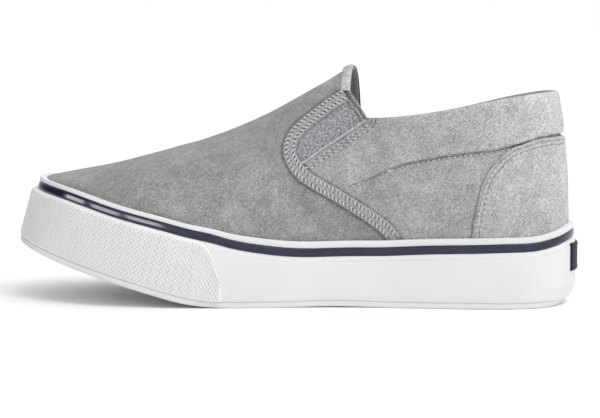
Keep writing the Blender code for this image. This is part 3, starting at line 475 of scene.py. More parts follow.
class Skin:
    """The upper's outer face as a mesh, with the wall's thickness and the direction out at each point."""

    def __init__(self):
        shares = column_shares()
        self.shares = shares
        last = len(shares) - 1
        order = [(s, False) for s in shares] + [(s, True) for s in shares[-2:0:-1]]
        self.columns = [Column(s, m).rows() for s, m in order]
        self.total = 2 * last
        self.wall_rows = 2 + ROWS_BELOW_SEAM + ROWS_IN_COLLAR
        self.throat = REAR_COLUMNS
        self.index = {}
        points, walls = [], []
        for c, column in enumerate(self.columns):
            pair = (self.total - c) % self.total
            for r, (point, wall) in enumerate(column):
                on_ridge = r == self.wall_rows - 1 + ROWS_ON_INSTEP
                if on_ridge and (pair, r) in self.index:
                    self.index[c, r] = self.index[pair, r]
                    continue
                self.index[c, r] = len(points)
                points.append(point)
                walls.append(wall)
        self.points = np.array(points)
        self.walls = np.array(walls)
        self.faces = []
        for c in range(self.total):
            after = (c + 1) % self.total
            for r in range(min(len(self.columns[c]), len(self.columns[after])) - 1):
                ring = ((c, r + 1), (after, r + 1), (after, r), (c, r))
                self.faces.append(tuple(self.index[k] for k in ring))
        self.out = self.directions()
        self.tree = BVHTree.FromPolygons([Vector(p) for p in self.points], self.faces)

    def directions(self):
        out = np.zeros_like(self.points)
        for face in self.faces:
            corners = self.points[list(face)]
            normal = np.cross(corners[2] - corners[0], corners[3] - corners[1])
            for v in face:
                out[v] += normal
        out /= np.linalg.norm(out, axis=1)[:, None]
        if np.sum(out * (self.points - self.points.mean(0))) < 0:
            out = -out
        return out

    def from_side(self, along, height, medial):
        """The point of the skin seen from the side at a share of the length and a height."""
        x = LENGTH * (0.5 - along)
        start = Vector((x, BALL_WIDTH if medial else -BALL_WIDTH, height))
        hit, normal, _, _ = self.tree.ray_cast(start, Vector((0, -1 if medial else 1, 0)))
        if normal.y * (1 if medial else -1) < 0:
            normal = -normal
        return np.array(hit), np.array(normal)

    def on_column(self, position, height):
        """A point and direction out on the faceted skin, at a place between columns and a height."""
        low = int(math.floor(position))
        part = position - low
        count = self.wall_rows
        ends = []
        for c in (low % self.total, (low + 1) % self.total):
            ids = [self.index[c, r] for r in range(1, count)]
            ends.append((self.points[ids], self.out[ids]))
        line = ends[0][0] * (1 - part) + ends[1][0] * part
        out = ends[0][1] * (1 - part) + ends[1][1] * part
        point = np.array([np.interp(height, line[:, 2], line[:, k]) for k in range(3)])
        turn = np.array([np.interp(height, line[:, 2], out[:, k]) for k in range(3)])
        return point, turn / np.linalg.norm(turn)


def opening_path(skin):
    """The skin's points round the opening, from the heel along the lateral side and back."""
    top = skin.wall_rows - 1
    last = top + ROWS_ON_INSTEP
    lateral = [skin.index[c, top] for c in range(skin.throat + 1)]
    rise = [skin.index[skin.throat, r] for r in range(top + 1, last + 1)]
    medial_throat = skin.total - skin.throat
    fall = [skin.index[medial_throat, r] for r in range(last - 1, top, -1)]
    medial = [skin.index[c, top] for c in range(medial_throat, skin.total)]
    return lateral + rise + fall + medial


def side_height(size, share, medial):
    """Height of a share of a size; the medial gore and its trim sit lower at the throat."""
    drop = MEDIAL_DROP * np.clip((share - 0.5) / 0.37, 0, 1.2) if medial else 0.0
    return size * (share - drop)


def gore_rows(medial):
    """The gore's front and back edges as places along the shoe and heights, from the top down."""
    rows = np.array(GORE)
    front = side_height(INSTEP_HEIGHT, rows[:, 1], medial)
    back = side_height(HEEL_HEIGHT, rows[:, 3], medial)
    return np.stack([rows[:, 0] * LENGTH, front], 1), np.stack([rows[:, 2] * LENGTH, back], 1)


def even_path(rows, spacing):
    """Points evenly spread on a smooth curve through rows of places and heights."""
    arc = np.concatenate([[0], np.cumsum(np.linalg.norm(np.diff(rows, axis=0), axis=1))])
    fine = np.linspace(0, arc[-1], 400)
    curve = np.stack([smooth(np.stack([arc, rows[:, k]], 1), fine, 1) for k in (0, 1)], 1)
    length = np.concatenate([[0], np.cumsum(np.linalg.norm(np.diff(curve, axis=0), axis=1))])
    count = max(2, int(length[-1] / spacing))
    even = np.linspace(0, length[-1], count + 1)
    return np.stack([np.interp(even, length, curve[:, k]) for k in (0, 1)], 1)


def piece(name, points, faces, finish, node=None, uv=None, slots=None, smooth_angle=None):
    """A mesh that rides on the shoe, with its cloth's place in metres where the material reads it."""
    mesh = bpy.data.meshes.new(name)
    mesh.from_pydata([tuple(map(float, p)) for p in points], [], [tuple(map(int, f)) for f in faces])
    for one in finish if isinstance(finish, list) else [finish]:
        mesh.materials.append(one)
    if uv is not None:
        layer = mesh.uv_layers.new(name="flat")
        loops = np.empty(len(mesh.loops), dtype=np.int32)
        mesh.loops.foreach_get("vertex_index", loops)
        layer.data.foreach_set("uv", np.asarray(uv, dtype=np.float32)[loops].ravel())
    if slots is not None:
        mesh.polygons.foreach_set("material_index", np.asarray(slots, dtype=np.int32))
    mesh.shade_smooth()
    if smooth_angle:
        mesh.set_sharp_from_angle(angle=math.radians(smooth_angle))
    made = bpy.data.objects.new(name, mesh)
    bpy.context.scene.collection.objects.link(made)
    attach(made, "root")
    if node:
        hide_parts(node)
    return made


def mark(obj, **fields):
    """Stores a number at each point for the materials, such as the distance to a seam."""
    for name, values in fields.items():
        layer = obj.data.attributes.new(name, "FLOAT", "POINT")
        layer.data.foreach_set("value", np.asarray(values, dtype=np.float32))


def grid_faces(rows, columns, wrap=False, flip=False):
    """Quads of a grid whose points run along each row in turn."""
    i = np.arange(rows if wrap else rows - 1)[:, None]
    j = np.arange(columns - 1)[None, :]
    after = (i + 1) % rows
    here, beyond = i * columns + j, after * columns + j
    quads = np.stack([here, here + 1, beyond + 1, beyond], -1).reshape(-1, 4)
    return quads[:, ::-1] if flip else quads


def fix_normals(obj):
    """Turns the faces of a closed or nearly closed piece outward."""
    shape = bmesh.new()
    shape.from_mesh(obj.data)
    bmesh.ops.recalc_face_normals(shape, faces=shape.faces)
    shape.to_mesh(obj.data)
    shape.free()


def hash_noise(*values):
    """A repeatable number from 0 to 1 for each set of values."""
    mixed = sum(v * k for v, k in zip(values, (12.9898, 78.233, 37.719)))
    return np.modf(np.abs(np.sin(mixed) * 43758.5453))[0]


def soft_noise(x, y, seed=0.0):
    """Smooth repeatable noise from -1 to 1 over a plane."""
    xi, yi = np.floor(x), np.floor(y)
    xf, yf = x - xi, y - yi
    sx, sy = xf * xf * (3 - 2 * xf), yf * yf * (3 - 2 * yf)
    corner = [[hash_noise(xi + a, yi + b, seed + 1.7) for b in (0, 1)] for a in (0, 1)]
    low = corner[0][0] * (1 - sx) + corner[1][0] * sx
    high = corner[0][1] * (1 - sx) + corner[1][1] * sx
    return 2 * (low * (1 - sy) + high * sy) - 1


# Materials: pitches of the twill, of the trim's braid and of the elastic's cords, and how far the two
# rows of thread stand from the trim's middle
TWILL_PITCH = 0.00098
BRAID_PITCH = 0.0020
CORD_PITCH = 0.00115
TRIM_ROW = 0.00155


class Value:
    """A number or a colour in a material's tree, for plain arithmetic."""

    def __init__(self, nodes, socket):
        self.nodes, self.socket = nodes, socket

    def __add__(self, other):
        return self.nodes.math("ADD", self, other)

    def __sub__(self, other):
        return self.nodes.math("SUBTRACT", self, other)

    def __rsub__(self, other):
        return self.nodes.math("SUBTRACT", other, self)

    def __mul__(self, other):
        return self.nodes.math("MULTIPLY", self, other)

    def __truediv__(self, other):
        return self.nodes.math("DIVIDE", self, other)


class Nodes:
    """A short way to write a material's node tree."""

    def __init__(self, name, colour, roughness, specular=0.5):
        self.material = bpy.data.materials.new(name)
        self.material.use_nodes = True
        self.tree = self.material.node_tree
        self.shader = self.tree.nodes["Principled BSDF"]
        self.shader.inputs["Base Color"].default_value = (*colour, 1)
        self.shader.inputs["Roughness"].default_value = roughness
        self.shader.inputs["Specular IOR Level"].default_value = specular
        self.material.diffuse_color = (*colour, 1)

    def node(self, kind, inputs=(), **settings):
        """A new node: each input is (its name or place, a value to link or a number to set)."""
        made = self.tree.nodes.new(kind)
        for key, value in settings.items():
            setattr(made, key, value)
        for key, value in inputs:
            if isinstance(value, Value):
                self.tree.links.new(value.socket, made.inputs[key])
            else:
                made.inputs[key].default_value = value
        return made

    def out(self, kind, inputs=(), output=0, **settings):
        return Value(self, self.node(kind, inputs, **settings).outputs[output])

    def math(self, operation, *values):
        return self.out("ShaderNodeMath", enumerate(values), operation=operation)

    def uv(self):
        return self.out("ShaderNodeUVMap", uv_map="flat")

    def place(self):
        return self.out("ShaderNodeTexCoord", output="Object")

    def parts(self, vector):
        split = self.node("ShaderNodeSeparateXYZ", [(0, vector)])
        return [Value(self, socket) for socket in split.outputs]

    def field(self, name):
        return self.out("ShaderNodeAttribute", output="Fac", attribute_name=name)

    def line(self, gap, offset, width):
        """A soft line where a distance field passes an offset, from 0 away from it to 1 on it."""
        part = (gap - offset) / width
        return self.math("EXPONENT", part * part * -1.0)

    def scaled(self, colour, factor):
        return self.out("ShaderNodeVectorMath", [(0, colour), ("Scale", factor)], operation="SCALE")

    def noise(self, vector, scale, detail=2.0, roughness=0.5):
        inputs = [("Vector", vector), ("Scale", scale), ("Detail", detail), ("Roughness", roughness)]
        return self.out("ShaderNodeTexNoise", inputs)

    def ramp(self, value, *stops):
        made = self.node("ShaderNodeValToRGB", [(0, value)])
        while len(made.color_ramp.elements) < len(stops):
            made.color_ramp.elements.new(0.5)
        for element, (position, colour) in zip(made.color_ramp.elements, stops):
            element.position = position
            element.color = (*colour, 1)
        return Value(self, made.outputs[0])

    def wave(self, value, pitch):
        """A sine of a length with a pitch in metres, from -1 to 1."""
        return self.math("SINE", value * (2 * math.pi / pitch))

    def bump(self, height, distance, strength=1.0, after=None):
        inputs = [("Strength", strength), ("Distance", distance), ("Height", height)]
        inputs += [("Normal", after)] if after else []
        made = self.out("ShaderNodeBump", inputs)
        self.tree.links.new(made.socket, self.shader.inputs["Normal"])
        return made

    def colour(self, value):
        self.tree.links.new(value.socket, self.shader.inputs["Base Color"])


def grey(value, blue=1.0):
    return (value, value, value * blue)


def canvas_material(name, level, marks=(), twill=1.0):
    """Washed twill with diagonal ribs, uneven yarn and a timeworn, blotchy grey.

    Each mark is (distance field, where on it, half width, how dark, how deep) of a seam or a row of thread:
    its darkness is painted shade in the seam, beside the trim and between the stitches, and its depth a real
    dent.
    A canvas with marks also reads a level for each region of the cloth, which holds the cloth's own tone
    together with painted light and shade.
    """
    blue = 1.02
    n = Nodes(name, grey(level, blue), 0.92, 0.2)
    place = n.place()
    x, _, z = n.parts(place)
    warp = (n.noise(place, 700.0) - 0.5) * 0.0012
    slow = (n.noise(place, 60.0) - 0.5) * 0.0030
    rib = n.wave(x * 0.80 - z * 0.60 + warp + slow, TWILL_PITCH)
    stretched = n.out("ShaderNodeMapping", [("Scale", (1000.0, 1000.0, 2200.0)), ("Vector", place)])
    yarn = n.noise(stretched, 1.0, 2.0, 0.7)
    fibre = n.noise(place, 2300.0, 3.0, 0.75)
    grain = n.noise(place, 800.0, 3.0, 0.7)
    patch = n.noise(place, 150.0, 4.0, 0.65)
    cloud = n.noise(place, 32.0, 3.0, 0.6)
    tone = (patch - 0.5) * 0.55 + (cloud - 0.5) * 0.40 + (yarn - 0.5) * 0.80 + (fibre - 0.5) * 0.95
    tone = tone + (grain - 0.5) * 1.00 + rib * (0.140 * twill) + 0.5
    dark, light = grey(level * 0.42, blue), grey(level * 1.8)
    colour = n.ramp(tone, (0.0, dark), (0.5, grey(level, blue)), (1.0, light))
    height = rib * (0.35 * twill) + yarn * 1.2 + fibre * 0.9 + grain
    fine = n.bump(height, 0.00016, 0.9)
    if marks:
        # The level field brings painted light and shade, and each mark adds a line of painted shade.
        factor, depth = n.field("level"), None
        for field, offset, width, dark, deep in marks:
            line = n.line(n.field(field), offset, width)
            factor = factor * (1.0 - line * dark)
            depth = line * -deep if depth is None else depth + line * -deep
        colour = n.scaled(colour, factor)
        n.bump(depth, 1.0, 1.0, fine)
    n.colour(colour)
    n.shader.inputs["Sheen Weight"].default_value = 0.08
    n.shader.inputs["Sheen Roughness"].default_value = 0.6
    return n.material


def knit_material(name, level):
    """The trim's thick knitted yarn, with painted shade along the two rows where the thread goes in."""
    n = Nodes(name, grey(level, 1.03), 0.9, 0.2)
    flat = n.uv()
    run, across, _ = n.parts(flat)
    side = n.math("ABSOLUTE", across)
    cord = n.wave(run + side * 0.8, BRAID_PITCH)
    yarn = n.noise(flat, 1300.0, 3.0, 0.7)
    slub = n.noise(flat, 380.0, 2.0, 0.6)
    tone = cord * 0.09 + (yarn - 0.5) * 1.0 + (slub - 0.5) * 0.6 + 0.5
    dark, light = grey(level * 0.4, 1.05), grey(level * 1.9)
    ramp = n.ramp(tone, (0.0, dark), (0.5, grey(level, 1.03)), (1.0, light))
    # Painted shade in the needle holes along both rows of thread; the same holes also sink the bump.
    holes = n.line(side, TRIM_ROW, 0.00042) * (n.noise(flat, 800.0) * 0.9 + 0.30)
    n.colour(n.scaled(ramp, 1.0 - holes * 0.60))
    n.bump(cord * 0.6 + yarn * 1.4 - holes * 2.0, 0.0002, 0.9)
    return n.material


def elastic_material(name, level):
    """Elastic with faint cords under a bobbled yarn, and three lines across its top."""
    n = Nodes(name, grey(level, 1.08), 0.85, 0.2)
    flat = n.uv()
    wander = (n.noise(flat, 900.0) - 0.5) * 0.0009
    cord = n.wave(n.parts(flat)[0] + wander, CORD_PITCH)
    bobble = n.noise(flat, 1050.0, 3.0, 0.75)
    fuzz = n.noise(flat, 2300.0, 2.0, 0.7)
    tone = cord * 0.05 + (bobble - 0.5) * 3.4 + (fuzz - 0.5) * 1.1 + 0.5
    dark, light = (level * 0.45, level * 0.45, level * 0.52), (level * 1.9, level * 1.9, level * 1.98)
    colour = n.ramp(tone, (0.0, dark), (0.5, grey(level, 1.07)), (1.0, light))
    for offset, amount in ((0.0011, 0.50), (0.0019, -0.25), (0.0028, 0.45)):
        colour = n.scaled(colour, 1.0 - n.line(n.field("top_gap"), offset, 0.00030) * amount)
    n.colour(colour)
    n.bump(cord * 0.3 + bobble * 1.6 + fuzz, 0.0002, 0.9)
    return n.material


def rubber_material(name, level, grain=0.00005, marks=()):
    """White vulcanised rubber with a faint grain. A mark is (field, where on it, half width, how dark)."""
    n = Nodes(name, grey(level), 0.5, 0.35)
    place = n.place()
    fine = n.noise(place, 900.0, 3.0, 0.6)
    low, high = (level * 0.955, level * 0.955, level * 0.95), (level * 1.03, level * 1.035, level * 1.04)
    colour = n.ramp(fine * 0.4 + n.noise(place, 35.0) * 0.6, (0.3, low), (0.7, high))
    for field, offset, width, dark in marks:
        colour = n.scaled(colour, 1.0 - n.line(n.field(field), offset, width) * dark)
    n.colour(colour)
    n.bump(fine, grain, 0.8)
    return n.material


def stripe_material(name):
    """Glossy navy rubber, very slightly uneven."""
    n = Nodes(name, (0.010, 0.015, 0.040), 0.13)
    place = n.place()
    n.colour(n.ramp(n.noise(place, 160.0), (0.3, (0.008, 0.012, 0.034)), (0.7, (0.013, 0.019, 0.050))))
    n.bump(n.noise(place, 70.0), 0.00012, 0.35)
    return n.material


def thread_material(name, level):
    n = Nodes(name, grey(level, 1.02), 0.75)
    twist = n.noise(n.place(), 1600.0, 1.0)
    n.colour(n.ramp(twist, (0.3, grey(level * 0.75, 1.02)), (0.7, grey(level * 1.2))))
    n.bump(twist, 0.00012, 0.8)
    return n.material


def lining_material(name, level):
    n = Nodes(name, grey(level), 0.95)
    place = n.place()
    x, y, z = n.parts(place)
    weave = n.wave(x, 0.0011) * n.wave(y + z, 0.0011)
    fuzz = n.noise(place, 900.0, 3.0, 0.6)
    n.colour(n.ramp(weave * 0.12 + fuzz, (0.3, grey(level * 0.8)), (0.7, grey(level * 1.15))))
    n.bump(weave * 0.5 + fuzz, 0.00015, 0.8)
    return n.material


# Sole


def ring_piece(name, profile, finish, node, smooth_angle=None):
    """A closed ring or cup from a function that gives a station's (inset, height) rows."""
    rows, over = [], []
    for station in zip(SOLE_OUTLINE.points, SOLE_OUTLINE.inward):
        share = share_of(station)
        step = band_heights(share)[0]
        section = profile(share)
        rows += [rim(station, inset, height) for inset, height in section]
        over += [height - step for _, height in section]
    faces = grid_faces(len(SOLE_OUTLINE.points), len(section), wrap=True)
    made = piece(name, rows, faces, finish, node, smooth_angle=smooth_angle)
    # The height over the step, which the white rubber reads to paint a thin line of shade just under the
    # step.
    mark(made, step_gap=over)
    return made


def across_sole(share, inset):
    """The plan points on the lateral and the medial side at a share of the length and an inset."""
    ends = [SOLE_OUTLINE.at_share(share, medial) for medial in (False, True)]
    return [point + inward * inset for point, inward in ends]


def even_shares(count):
    """Shares of the length that lie closer together at the heel and the toe."""
    return [(1 - math.cos(math.pi * k / count)) / 2 for k in range(count + 1)]


def rounded(rows, radius, steps=3):
    """Rounds each corner of a closed section of (inset, height) rows."""
    found = []
    count = len(rows)
    for i, corner in enumerate(rows):
        corner = np.array(corner)
        before = np.array(rows[i - 1]) - corner
        after = np.array(rows[(i + 1) % count]) - corner
        size = radius[i] if isinstance(radius, (list, tuple)) else radius
        reach = min(size, np.linalg.norm(before) * 0.45, np.linalg.norm(after) * 0.45)
        start = corner + before / np.linalg.norm(before) * reach
        end = corner + after / np.linalg.norm(after) * reach
        for k in range(steps + 1):
            t = k / steps
            found.append(tuple((1 - t) ** 2 * start + 2 * t * (1 - t) * corner + t * t * end))
    return found


def make_sidewall(finish):
    def profile(share):
        step, foot, _, top = band_heights(share)
        rows = (
            (OUTSOLE_LIP * 0.6, OUTSOLE_THICKNESS - CLEARANCE / 2),
            (0.0, OUTSOLE_THICKNESS + OUTSOLE_LIP),
            (0.0, HEEL_BEVEL_HEIGHT),
            (0.0, step - 0.0006),
            (STEP_DEPTH * 0.55, step + 0.0002),
            (STEP_DEPTH, step + STEP_DEPTH * 0.7),
            (STEP_DEPTH, foot - CLEARANCE * 0.3),
            (RING_SEAT, foot - CLEARANCE * 0.3),
            (RING_SEAT, top),
            (RIM_THICKNESS, top),
            (RIM_THICKNESS, FLOOR_HEIGHT),
            (RIM_THICKNESS * 3, FLOOR_HEIGHT),
            (RIM_THICKNESS * 3, OUTSOLE_THICKNESS + CLEARANCE),
        )
        section = rounded(rows, 0.0005, 2)
        return section + section[:1]

    fix_normals(ring_piece("sidewall", profile, finish, "midsole", 60))


def make_footbed(finish):
    """The floor inside the sidewall."""
    count, across = 90, 8
    rows = []
    for share in even_shares(count):
        ends = across_sole(share, RIM_THICKNESS * 2)
        rows += [place(ends[0] * (1 - t) + ends[1] * t, FLOOR_HEIGHT) for t in np.linspace(0, 1, across + 1)]
    piece("footbed", rows, grid_faces(count + 1, across + 1, flip=True), finish, None)


def make_tread(finish):
    """The outsole with its zigzag grooves and a narrow welt round its edge."""

    def profile(share):
        top = OUTSOLE_THICKNESS - CLEARANCE * 0.4
        edge = OUTSOLE_LIP * 0.9 - 0.0014 * float(soft_step(share, 0.62, 0.68))
        rows = (
            (TREAD_MARGIN * 0.5, 0.0),
            (edge + OUTSOLE_LIP * 0.7, 0.0),
            (edge, OUTSOLE_LIP),
            (edge, top),
            (TREAD_MARGIN * 0.5, top),
        )
        return rounded(rows, [0.0, 0.0008, 0.0006, 0.0004, 0.0], 3)

    ring_piece("outsole_edge", profile, finish, None, 60)
    groove = TREAD_GROOVE / LENGTH
    middles = groove_shares()
    marks = [(0.004, 0)]
    for m in middles:
        marks += [(m + groove * side, deep) for side, deep in ((-0.62, 0), (-0.36, 1), (0.36, 1), (0.62, 0))]
    marks.append((0.996, 0))
    filled = [marks[0]]
    for mark in marks[1:]:
        gap = mark[0] - filled[-1][0]
        if gap > 0.02:
            extra = int(gap / 0.01)
            filled += [(filled[-1][0] + gap * k / extra, 0) for k in range(1, extra)]
        filled.append(mark)
    across = 48
    rows = []
    for share, deep in filled:
        ends = across_sole(share, OUTSOLE_LIP * 2.2)
        width = ends[1][1] - ends[0][1]
        corners = max(2, 2 * round((width - 2 * TREAD_MARGIN) / TREAD_ZIGZAG))
        for k in range(across + 1):
            t = k / across
            side = ends[0][1] + width * t
            x = ends[0][0] * (1 - t) + ends[1][0] * t
            inner = (side - ends[0][1] - TREAD_MARGIN) / max(1e-6, width - 2 * TREAD_MARGIN)
            zig = 0.0
            depth = 0.0
            if 0 <= inner <= 1 and width > 4 * TREAD_MARGIN:
                zig = TREAD_GROOVE * 0.5 * (2 * abs((inner * corners) % 2 - 1) - 1)
                depth = TREAD_DEPTH * deep
            reach = min(1.0, share / 0.04, (1 - share) / 0.04)
            rows.append(place((x + zig * reach, side), depth - 0.00002))
    faces = grid_faces(len(filled), across + 1)
    piece("outsole_tread", rows, faces, finish, "outsole", smooth_angle=30)


def make_line(name, finish, node, low, high, bulge, lean=0.0):
    """A rubber line in its seat, with a rounded face: low and high pick two of the band heights."""

    def profile(share):
        heights = band_heights(share)
        foot = heights[low] + CLEARANCE * 0.2
        top = heights[high] - CLEARANCE * (0.2 if high < 3 else 0.0)
        inner, outer = RING_SEAT + 0.0001, STEP_DEPTH - CLEARANCE * 0.6
        tilt = lean * float(soft_step(share, 0.42, 0.50))
        section = [(inner, foot)]
        steps = 8
        for k in range(steps + 1):
            t = k / steps
            swell = bulge * (1 - (2 * t - 1) ** 4)
            section.append((outer + bulge - swell + tilt * (t - 0.5), foot + (top - foot) * t))
        section.append((inner if high < 3 else RIM_THICKNESS * 0.9, top))
        return section

    ring_piece(name, profile, finish, node)


def diamonds(arc, height):
    """Relief of the toe's embossed grid, from 0 in its grooves to 1 on its points."""
    width, tall = 0.00185, 0.0027
    a = np.abs(np.sin(math.pi * (arc / width + height / tall)))
    b = np.abs(np.sin(math.pi * (arc / width - height / tall)))
    return np.minimum(a, b) ** 0.7


def make_bumper(finish):
    """The toe's second layer with its grid of small raised diamonds."""
    ends = BUMPER_REACH + BUMPER_TAIL * 0.995
    count = int(2 * ends / 0.00034)
    spacing = np.linspace(-1, 1, count)
    arcs = ends * np.sign(spacing) * (1 - (1 - np.abs(spacing)) ** 1.02)
    rows_up = 60
    relief = 0.00050
    points, grooves = [], []
    for arc in arcs:
        station = SOLE_OUTLINE.at_arc(SOLE_OUTLINE.toe, arc)
        step, foot, _, _ = band_heights(share_of(station))
        low, full = OUTSOLE_THICKNESS, foot - CLEARANCE * 0.5
        d = max(0.0, (abs(arc) - BUMPER_REACH) / BUMPER_TAIL)
        top = low + (full - low) * (1 - d**3) ** 0.77
        over = min(1.0, max(0.0, (top - step) / (full - step)))
        face = -CLEARANCE - BUMPER_THICKNESS + relief * 0.5
        t = np.linspace(0, 1, rows_up)
        height = low + (top - low) * t
        near_edge = np.minimum(height - low, top - height)
        slope = np.clip((height - step) / np.maximum(full - step, 1e-6), 0, 1) * over
        inset = face + 0.0013 * slope**1.6
        margin = np.clip((near_edge - 0.0006) / 0.0006, 0, 1)
        back = np.clip((ends - abs(arc) - 0.0012) / 0.001, 0, 1)
        bumps = diamonds(arc, height)
        inset -= relief * bumps * margin * back
        # The groove field is read by the toe rubber to paint shade into the grooves between the diamonds.
        groove = np.where(margin * back > 0, (1 - bumps) * margin * back, 0.25)
        curl = np.clip(1 - near_edge / 0.0006, 0, 1)
        inset += 0.0004 * curl**2
        tuck = np.clip(1 - (ends - abs(arc)) / 0.0016, 0, 1) ** 2
        inset += (BUMPER_THICKNESS + 2 * CLEARANCE) * tuck
        rows = [(0.0004, low)] + list(zip(inset, height)) + [(0.0004 + STEP_DEPTH * over, top + 0.0001)]
        grooves += [0.3, *groove, 0.3]
        points += [rim(station, i, h) for i, h in rows]
    faces = grid_faces(count, rows_up + 2, flip=True)
    mark(piece("toe_rubber", points, faces, finish, "toe_bumper"), groove=grooves)


def make_patch(finish):
    """The plain label on the heel with a raised border."""
    across, up = 90, 44
    points = []
    for k in range(across + 1):
        a = (k / across - 0.5) * PATCH_WIDTH
        station = SOLE_OUTLINE.at_arc(0, a)
        for j in range(up + 1):
            b = PATCH_FOOT + PATCH_HEIGHT * j / up
            edge = min(PATCH_WIDTH / 2 - abs(a), b - PATCH_FOOT, PATCH_FOOT + PATCH_HEIGHT - b)
            rise = PATCH_THICKNESS * min(1.0, (edge / 0.0004) ** 0.5 if edge > 0 else 0.0)
            border = 0.0002 * math.exp(-(((edge - 0.0012) / 0.0004) ** 2))
            inset = 0.00015 - CLEARANCE - rise - border if edge > 0 else 0.0002
            points.append(rim(station, inset, b))
    piece("heel_label", points, grid_faces(across + 1, up + 1), finish, "heel_patch")


def make_footbed_cover(finish):
    """The insole: slightly cupped at the heel, with a rounded edge."""
    count, across = 120, 40
    top = FLOOR_HEIGHT + CLEARANCE + INSOLE_THICKNESS
    points = []
    for share in even_shares(count):
        ends = across_sole(share, upper_inset() + UPPER_WALL + CLEARANCE * 0.5)
        for t in np.arange(across + 1) / across:
            edge = min(t, 1 - t) * 2
            lift = 0.0012 * (1 - edge) ** 3 - 0.0004 * edge
            points.append(place(ends[0] * (1 - t) + ends[1] * t, top + lift - 0.0004))
    faces = grid_faces(count + 1, across + 1, flip=True)
    piece("footbed_cover", points, faces, finish, "insole")


# Upper


def nearest_on(x, z, path):
    """For each stretch of a line in the side view: its ends, the distance to it and the share along it."""
    for (ax, az), (bx, bz) in zip(path[:-1], path[1:]):
        dx, dz = bx - ax, bz - az
        t = np.clip(((x - ax) * dx + (z - az) * dz) / (dx * dx + dz * dz), 0, 1)
        yield ax, az, bx, bz, np.hypot(x - ax - t * dx, z - az - t * dz), t


def polygon_distance(x, z, outline):
    """Signed distance to a closed outline in the side view, positive inside."""
    best = np.full(x.shape, 1e9)
    inside = np.zeros(x.shape, dtype=bool)
    for ax, az, bx, bz, d, _ in nearest_on(x, z, [*outline, outline[0]]):
        best = np.minimum(best, d)
        with np.errstate(divide="ignore", invalid="ignore"):
            inside ^= ((az > z) != (bz > z)) & (x < (bx - ax) * (z - az) / (bz - az) + ax)
    return np.where(inside, best, -best)


def line_distance(x, z, path):
    """Distance to an open line and the share of its length there."""
    best = np.full(x.shape, 1e9)
    share = np.zeros(x.shape)
    steps = np.linalg.norm(np.diff(path, axis=0), axis=1)
    arc = np.concatenate([[0], np.cumsum(steps)])
    for i, (*_, d, t) in enumerate(nearest_on(x, z, path)):
        share = np.where(d < best, (arc[i] + t * steps[i]) / arc[-1], share)
        best = np.minimum(best, d)
    return best, share


def signed_gap(x, z, path):
    """Distance to a line in the side view, positive on the left of its direction."""
    best = np.full(x.shape, 1e9)
    sign = np.ones(x.shape)
    for ax, az, bx, bz, d, _ in nearest_on(x, z, path):
        side = np.sign((bx - ax) * (z - az) - (bz - az) * (x - ax))
        sign = np.where(d < best, side, sign)
        best = np.minimum(best, d)
    return best * sign


# Creases seen from the side: (along, height in mm) from one end to the other, width mm, depth mm
CREASES = (
    ((0.172, 70.0), (0.180, 52.0), (0.188, 36.0), 2.2, 0.75),
    ((0.205, 66.0), (0.200, 55.0), (0.203, 44.0), 4.0, 0.55),
    ((0.300, 62.0), (0.240, 58.0), (0.205, 50.0), 3.2, 0.55),
    ((0.330, 52.0), (0.280, 47.0), (0.235, 42.0), 3.5, 0.50),
    ((0.390, 60.0), (0.350, 52.0), (0.315, 40.0), 3.0, 0.50),
    ((0.430, 62.0), (0.405, 58.0), (0.372, 57.0), 2.5, 0.45),
    ((0.505, 80.0), (0.540, 62.0), (0.560, 46.0), 5.0, 0.60),
    ((0.560, 74.0), (0.600, 60.0), (0.640, 48.0), 6.0, 0.60),
    ((0.640, 66.0), (0.680, 58.0), (0.720, 50.0), 6.0, 0.50),
    ((0.500, 58.0), (0.470, 48.0), (0.440, 38.0), 3.5, 0.85),
    ((0.353, 81.0), (0.338, 73.0), (0.3185, 65.0), 2.4, 0.90),
    ((0.100, 88.0), (0.092, 82.0), (0.088, 77.0), 2.5, 0.40),
)


def crease_field(points):
    """How far creases lift or sink the cloth, in metres."""
    x = 0.5 * LENGTH - points[:, 0]
    z = points[:, 2]
    out = np.zeros(len(points))
    for *path, width, depth in CREASES:
        knots = np.array([(a * LENGTH, h / 1000) for a, h in path])
        t = np.linspace(0, 1, 9)[:, None]
        bend = 2 * knots[1] - (knots[0] + knots[2]) / 2
        curve = (1 - t) ** 2 * knots[0] + 2 * t * (1 - t) * bend + t * t * knots[2]
        d, share = line_distance(x, z, curve)
        w = width / 1000
        taper = np.sin(math.pi * np.clip(share, 0.0, 1.0)) ** 0.8
        valley = -np.exp(-((d / w) ** 2)) + 0.45 * np.exp(-(((d - 1.9 * w) / (0.9 * w)) ** 2))
        out += valley * depth / 1000 * taper
    out += 0.00020 * soft_noise(x / 0.011, z / 0.008, 3.0)
    out += 0.00035 * soft_noise(x / 0.026, z / 0.02, 7.0)
    return out


def collar_seam_height(along):
    return HEEL_HEIGHT * smooth(COLLAR_SEAM, along, 1)


def sidewall_height_of(along):
    table = np.linspace(0, 1, 200)
    return np.interp(along, table, [float(sidewall_height(s)) for s in table])


def soft_step(value, low, high):
    t = np.clip((value - low) / (high - low), 0, 1)
    return t * t * (3 - 2 * t)


